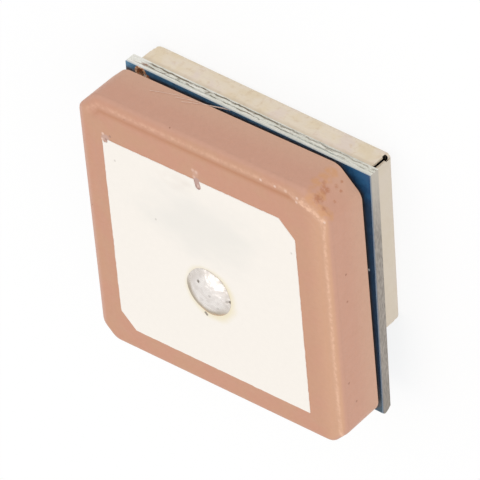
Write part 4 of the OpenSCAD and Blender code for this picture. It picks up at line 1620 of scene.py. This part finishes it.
@dataclass
class CircuitBoard:
    """The board: masked faces, scored and snapped top and bottom edges, routed sides and its plated hole."""

    corner: float = 0.12
    front_score: float = 0.4
    rear_score: float = 0.25
    score_run: float = 0.05
    lip_out: float = 0.25
    lip_from_front: float = 0.28
    lip_thickness: float = 0.2
    lip_rear_run: float = 0.45
    border: float = 0.015
    fray: float = 0.07
    strand_waves: Band = (0.9, 11.0)
    strand_share: float = 1.2
    splinter_waves: Band = (4.5, 5.0)
    splinter_share: float = 0.5
    land_steps: int = 100
    land_rows: int = 4
    hole_radius: float = 0.41
    hole_from_left: float = 1.5
    hole_from_top: float = 0.495

    def build(self) -> Piece:
        """Models the board.

        Returns:
            The board, in place.
        """
        low, high = (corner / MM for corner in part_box("circuit_board"))
        board = Bench.block("board_laminate", tuple(high - low), tuple((low + high) / 2))
        Bench.pick(Pick.EDGES, Bench.upright)
        bpy.ops.mesh.bevel(offset=self.corner, segments=4, affect="EDGES")
        self._score(low, high)
        for height in (low.z, high.z):
            Bench.pick(Pick.FACES, lambda face: Bench.flat_on(face, height))
            bpy.ops.mesh.inset(thickness=self.border)
        self._split_land(low, high)
        self._fray_land(board, low, high)
        self._drill(board, low, high)
        self._mark_surfaces(board, low, high)
        return Bench.finish(board, 30, BOARD)

    def _score(self, low: Vector, high: Vector) -> None:
        """Draws in the faces' edges as the scores do: a little at the top, and more at the bottom's lip.

        Args:
            low: The board's lowest corner.
            high: Its highest corner.
        """
        lip_front = high.z - self.lip_from_front
        lip_rear = lip_front - self.lip_thickness
        land_front = high.z - self.front_score
        land_rear = low.z + self.rear_score
        for height in (land_rear, lip_rear, land_front, lip_front):
            Bench.slice_level(height)
        top_share = (lip_front - land_front) / self.front_score
        low_share = (lip_rear - land_rear) / (lip_rear - low.z)
        top = {low.z: self.score_run, lip_front: self.score_run * top_share, high.z: self.score_run}
        bottom = {low.z: self.lip_rear_run, land_rear: self.lip_rear_run * low_share,
                  high.z: self.lip_out + self.score_run}
        for side, edge, draws in ((1, high.y, top), (-1, low.y, bottom)):
            for height, depth in draws.items():
                reach = edge - side * depth
                Bench.pick(Pick.VERTS, lambda vert: abs(vert.co.z - height) < TINY
                           and vert.co.y * side > reach * side)
                bpy.ops.transform.resize(value=(1, 0, 1), center_override=(0, reach, 0))

    @staticmethod
    def _on_land(vert: bmesh.types.BMVert | bpy.types.MeshVertex, low: Vector, high: Vector) -> bool:
        """Tells whether a point lies on the land that was snapped, at the top or bottom edge."""
        return min(abs(vert.co.y - low.y), abs(vert.co.y - high.y)) < TINY

    def _split_land(self, low: Vector, high: Vector) -> None:
        """Splits the snapped land between the scores into small faces.

        Args:
            low: The board's lowest corner.
            high: Its highest corner.
        """
        def along(edge: bmesh.types.BMEdge) -> bool:
            """Tells whether an edge runs along the land."""
            run = edge.verts[1].co - edge.verts[0].co
            return all(self._on_land(vert, low, high) for vert in edge.verts) and abs(run.z) < TINY

        def across(edge: bmesh.types.BMEdge) -> bool:
            """Tells whether an edge runs across the land."""
            return all(self._on_land(vert, low, high) for vert in edge.verts) and Bench.upright(edge)

        for test, cuts in ((along, self.land_steps), (along, 1), (across, self.land_rows)):
            Bench.pick(Pick.EDGES, test)
            bpy.ops.mesh.subdivide(number_cuts=cuts)
        Bench.clear()

    def _fray_land(self, board: Piece, low: Vector, high: Vector) -> None:
        """Lets the fibres of the snapped land break unevenly, inwards.

        Args:
            board: The board.
            low: Its lowest corner.
            high: Its highest corner.
        """
        for vert in board.data.vertices:
            if self._on_land(vert, low, high):
                strand = self._waves(vert.co, *self.strand_waves)
                splinter = self._waves(vert.co, *self.splinter_waves)
                depth = self.fray * min(1.0, strand * self.strand_share + splinter * self.splinter_share)
                vert.co.y -= math.copysign(depth, vert.co.y)

    @staticmethod
    def _waves(spot: Vector, along: float, across: float) -> float:
        """Gives how deep noise goes at a point, with waves of their own along and across the edge."""
        return abs(noise.noise(Vector((spot.x * along, spot.y, spot.z * across))))

    def _drill(self, board: Piece, low: Vector, high: Vector) -> None:
        """Drills the feed hole and the plated hole.

        Args:
            board: The board.
            low: Its lowest corner.
            high: Its highest corner.
        """
        middle = (low.z + high.z) / 2
        feed = ANTENNA.matrix() @ Vector((*FEED_IN_ANTENNA, 0)) / MM
        Bench.cut(board, Bench.rod("pin_drill", PIN_HOLE_RADIUS, 3, (feed.x, feed.y, middle)))
        spot = (low.x + self.hole_from_left, high.y - self.hole_from_top, middle)
        Bench.cut(board, Bench.rod("hole_drill", self.hole_radius, 3, spot, 64))

    def _mark_surfaces(self, board: Piece, low: Vector, high: Vector) -> None:
        """Stores on each face what kind of surface it is.

        Args:
            board: The board.
            low: Its lowest corner.
            high: Its highest corner.
        """
        marks = board.data.attributes.new("surface", "FLOAT", "FACE")
        inner_x = high.x - self.border - TINY
        inner_top = high.y - self.score_run - self.border - TINY
        for face, mark in zip(board.data.polygons, marks.data):
            spot = face.center
            if abs(face.normal.z) > NEARLY_FLAT:
                drawn = self.lip_out + self.score_run if face.normal.z > 0 else self.lip_rear_run
                masked = abs(spot.x) < inner_x and low.y + drawn + self.border + TINY < spot.y < inner_top
                mark.value = (Surface.MASK if masked else Surface.BORDER).value
            elif abs(face.normal.y) > 0.5 and not low.y + self.lip_rear_run < spot.y < high.y - 2 * self.fray:
                mark.value = Surface.SNAPPED.value
            else:
                mark.value = Surface.ROUTED.value

    def dress(self, palette: Palette) -> None:
        """Builds the board, hands it over and dresses the hole's copper."""
        Bench.hand_over(self.build(), palette.laminate, "board", "circuit_board")
        dress_node("plated_hole", palette.copper)


@dataclass
class LooseFibres:
    """Glass fibres that the snapped edge left hanging over the block's top side."""

    thickness: float = 0.038
    runs: tuple[tuple[Point, ...], ...] = (
        ((-1.5, 11.97, 3.26), (-2.2, 12.1, 3.55), (-2.8, 12.27, 4.0), (-3.6, 12.25, 4.1), (-4.5, 12.22, 4.25),
         (-5.1, 12.2, 4.4), (-5.9, 12.18, 4.68)),
        ((-1.9, 11.97, 3.26), (-2.6, 12.15, 3.7), (-3.1, 12.26, 4.04), (-4.4, 12.23, 4.5),
         (-5.15, 12.2, 4.86)),
        ((-5.7, 12.18, 4.3), (-6.5, 12.16, 4.58), (-7.3, 12.14, 4.82), (-8.1, 12.12, 5.12)),
    )

    def build(self) -> Piece:
        """Models the fibres as thin tubes along their runs.

        Returns:
            The fibres as one piece, in place.
        """
        curve = bpy.data.curves.new("loose_fibres", "CURVE")
        curve.dimensions = "3D"
        curve.bevel_depth = self.thickness / 2
        curve.bevel_resolution = 1
        curve.use_fill_caps = True
        for run in self.runs:
            spline = curve.splines.new("NURBS")
            spline.points.add(len(run) - 1)
            for point, spot in zip(spline.points, run):
                point.co = (*spot, 1.0)
            spline.use_endpoint_u = True
            spline.order_u = 4
        fibres = bpy.data.objects.new("loose_fibres", curve)
        bpy.context.scene.collection.objects.link(fibres)
        Bench.activate(fibres)
        bpy.ops.object.convert(target="MESH")
        Bench.outward()
        return Bench.finish(bpy.context.object, 60, BOARD)

    def dress(self, palette: Palette) -> None:
        """Builds the fibres and hands them over."""
        Bench.hand_over(self.build(), palette.glass, "board")


@dataclass
class WireConnector:
    """The side-entry connector behind the bottom edge, with the soft edges of moulded and stamped pieces."""

    mould_round: float = 0.07
    stamp_round: float = 0.03

    def dress(self, palette: Palette) -> None:
        """Builds and hands over the housing, the contacts and the lugs.

        Args:
            palette: The module's finishes.
        """
        pieces = (
            ("connector_housing", "socket_housing", self.mould_round, palette.nylon, "connector_nylon"),
            ("connector_contacts", "socket_contacts", self.stamp_round, palette.brass, "tinned_brass"),
            ("connector_lugs", "socket_lugs", self.stamp_round, palette.brass, "tinned_brass"),
        )
        for node, name, radius, finish, slot in pieces:
            Bench.hand_over(self._soften(node, name, radius), finish, slot, node)

    @staticmethod
    def _soften(node: str, name: str, radius: float) -> Piece:
        """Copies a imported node, merges its faces and rounds its edges.

        Args:
            node: Name of the node.
            name: Name of the new piece.
            radius: Radius of the rounding in millimetres.

        Returns:
            The rounded copy, in place.
        """
        piece = bpy.data.objects.new(name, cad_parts[node].data.copy())
        bpy.context.scene.collection.objects.link(piece)
        Bench.activate(piece)
        piece.matrix_world = Matrix.Scale(1 / MM, 4)
        bpy.ops.object.transform_apply(location=True, rotation=True, scale=True)
        bpy.ops.mesh.customdata_custom_splitnormals_clear()
        Bench.outward()
        Bench.pick_all(Pick.FACES)
        bpy.ops.mesh.dissolve_limited(angle_limit=math.radians(1))
        Bench.activate(piece)
        modifier = piece.modifiers.new("rounded", "BEVEL")
        modifier.width = radius
        modifier.segments = 2
        modifier.limit_method = "ANGLE"
        modifier.angle_limit = math.radians(30)
        bpy.ops.object.modifier_apply(modifier=modifier.name)
        return Bench.finish(piece, 50, BOARD)


@dataclass
class RearSide:
    """The shield can with its solder tacks, and the receiver's parts inside it."""

    chips: tuple[str, ...] = ("gnss_chip", "saw_filter", "low_noise_amplifier", "regulator", "flash_memory",
                              "resistors")

    def dress(self, palette: Palette) -> None:
        """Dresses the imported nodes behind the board.

        Args:
            palette: The module's finishes.
        """
        finishes = {
            palette.tinplate: ("shield_can",),
            palette.solder: ("shield_solder",),
            palette.resin: self.chips,
            palette.lid: ("tcxo", "clock_crystal"),
            palette.steel: ("backup_cell", "cell_tabs"),
            palette.capacitor: ("capacitors",),
            palette.inductor: ("inductors",),
        }
        for finish, nodes in finishes.items():
            for node in nodes:
                dress_node(node, finish)


@dataclass(frozen=True)
class Lamp:
    """A soft box: its name, its power in watts, and its size and place in metres."""

    name: str
    power: float
    size: float
    place: Point

    def build(self, aim: Vector) -> None:
        """Adds the lamp.

        Args:
            aim: The point that it faces.
        """
        data = bpy.data.lights.new(self.name, "AREA")
        data.energy = self.power
        data.shape = "DISK"
        data.size = self.size
        lamp = bpy.data.objects.new(self.name, data)
        lamp.location = self.place
        lamp.rotation_euler = (aim - lamp.location).to_track_quat("-Z", "Y").to_euler()
        bpy.context.scene.collection.objects.link(lamp)


@dataclass
class Studio:
    """A plain white studio: a pale floor, an even surround and soft boxes."""

    surround: float = 0.8
    floor_size: float = 6.0
    floor_tone: float = 0.86
    floor_lift: float = 0.85
    floor_gap: float = 0.00002
    lamps: tuple[Lamp, ...] = (
        Lamp("overhead_box", 0.9, 0.5, (-0.1, -0.05, 0.7)),
        Lamp("side_box", 1.3, 0.6, (0.78, 0.38, 0.42)),
    )

    def build(self) -> None:
        """Builds the lamps, the floor and the surround."""
        aim = (cad_low + cad_high) / 2
        for lamp in self.lamps:
            lamp.build(aim)
        self._build_floor()
        self._build_surround()
        bpy.context.scene.view_settings.view_transform = "Standard"

    @staticmethod
    def _seen(wiring: Wiring) -> Socket:
        """Gives 1 for rays that show a surface to the camera, straight, in a reflection or through glass.

        Args:
            wiring: The wiring of the floor or the surround.

        Returns:
            The mask.
        """
        rays = wiring.add("ShaderNodeLightPath").outputs
        straight_or_mirrored = wiring.math("MAXIMUM", rays["Is Camera Ray"], rays["Is Glossy Ray"])
        return wiring.math("MAXIMUM", straight_or_mirrored, rays["Is Transmission Ray"])

    def _build_floor(self) -> None:
        """Adds the floor, which shows as white and keeps a soft shadow of the object."""
        Bench.clear()
        bpy.ops.mesh.primitive_plane_add(size=self.floor_size, location=(0, 0, cad_low.z - self.floor_gap))
        floor = bpy.context.object
        floor.name = "studio_floor"
        material = bpy.data.materials.new("studio_floor")
        material.use_nodes = True
        nodes = material.node_tree.nodes
        wiring = Wiring(material.node_tree)
        shader = nodes["Principled BSDF"]
        shader.inputs["Roughness"].default_value = 1.0
        shader.inputs["Specular IOR Level"].default_value = 0.0
        seen = self._seen(wiring)
        wiring.feed(shader.inputs["Base Color"], wiring.blend(seen, (self.floor_tone,) * 3, WHITE))
        mixed = wiring.add("ShaderNodeMixShader")
        wiring.feed(mixed.inputs["Fac"], wiring.times(seen, self.floor_lift))
        wiring.feed(mixed.inputs[1], shader.outputs["BSDF"])
        wiring.feed(mixed.inputs[2], wiring.add("ShaderNodeEmission").outputs["Emission"])
        wiring.feed(nodes["Material Output"].inputs["Surface"], mixed.outputs["Shader"])
        floor.data.materials.append(material)

    def _build_surround(self) -> None:
        """Lights the scene evenly from all round, and shows as white to the camera and in reflections."""
        world = bpy.data.worlds.new("studio_surround")
        world.use_nodes = True
        bpy.context.scene.world = world
        wiring = Wiring(world.node_tree)
        background = world.node_tree.nodes["Background"]
        background.inputs["Color"].default_value = (*WHITE, 1.0)
        strength = wiring.scaled(self._seen(wiring), 1.0 - self.surround, self.surround)
        wiring.feed(background.inputs["Strength"], strength)


@dataclass
class PhotoCamera:
    """The photograph's camera: where it stands round the part, how it is rolled and its lens."""

    azimuth_deg: float = 141.641
    elevation_deg: float = 34.695
    roll_deg: float = 129.813
    distance: float = 0.48792
    aim: Point = (0.000386, 0.001395, 0.005431)
    lens: float = 472.606
    sensor: float = 36.0

    def build(self) -> None:
        """Adds the camera and makes it the scene's."""
        azimuth = math.radians(self.azimuth_deg)
        elevation = math.radians(self.elevation_deg)
        back = Vector((math.sin(azimuth) * math.cos(elevation), -math.cos(azimuth) * math.cos(elevation),
                       math.sin(elevation)))
        data = bpy.data.cameras.new("photo_camera")
        data.lens = self.lens
        data.sensor_width = self.sensor
        camera = bpy.data.objects.new("photo_camera", data)
        upright = (-back).to_track_quat("-Z", "Y").to_matrix()
        camera.matrix_world = Matrix.LocRotScale(
            Vector(self.aim) + back * self.distance,
            (upright @ Matrix.Rotation(-math.radians(self.roll_deg), 3, "Z")).to_quaternion(),
            None,
        )
        bpy.context.scene.collection.objects.link(camera)
        bpy.context.scene.camera = camera


def main() -> None:
    """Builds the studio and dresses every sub-assembly."""
    logging.basicConfig(level=logging.INFO, format="%(message)s")
    PhotoCamera().build()
    Studio().build()
    palette = Palette.mixed()
    assemblies = (CeramicBlock(), RadiatingElectrode(), FeedJoint(), FoamTape(), CircuitBoard(),
                  LooseFibres(), WireConnector(), RearSide())
    for assembly in assemblies:
        assembly.dress(palette)
    Bench.clear()


if __name__ == "__main__":
    main()
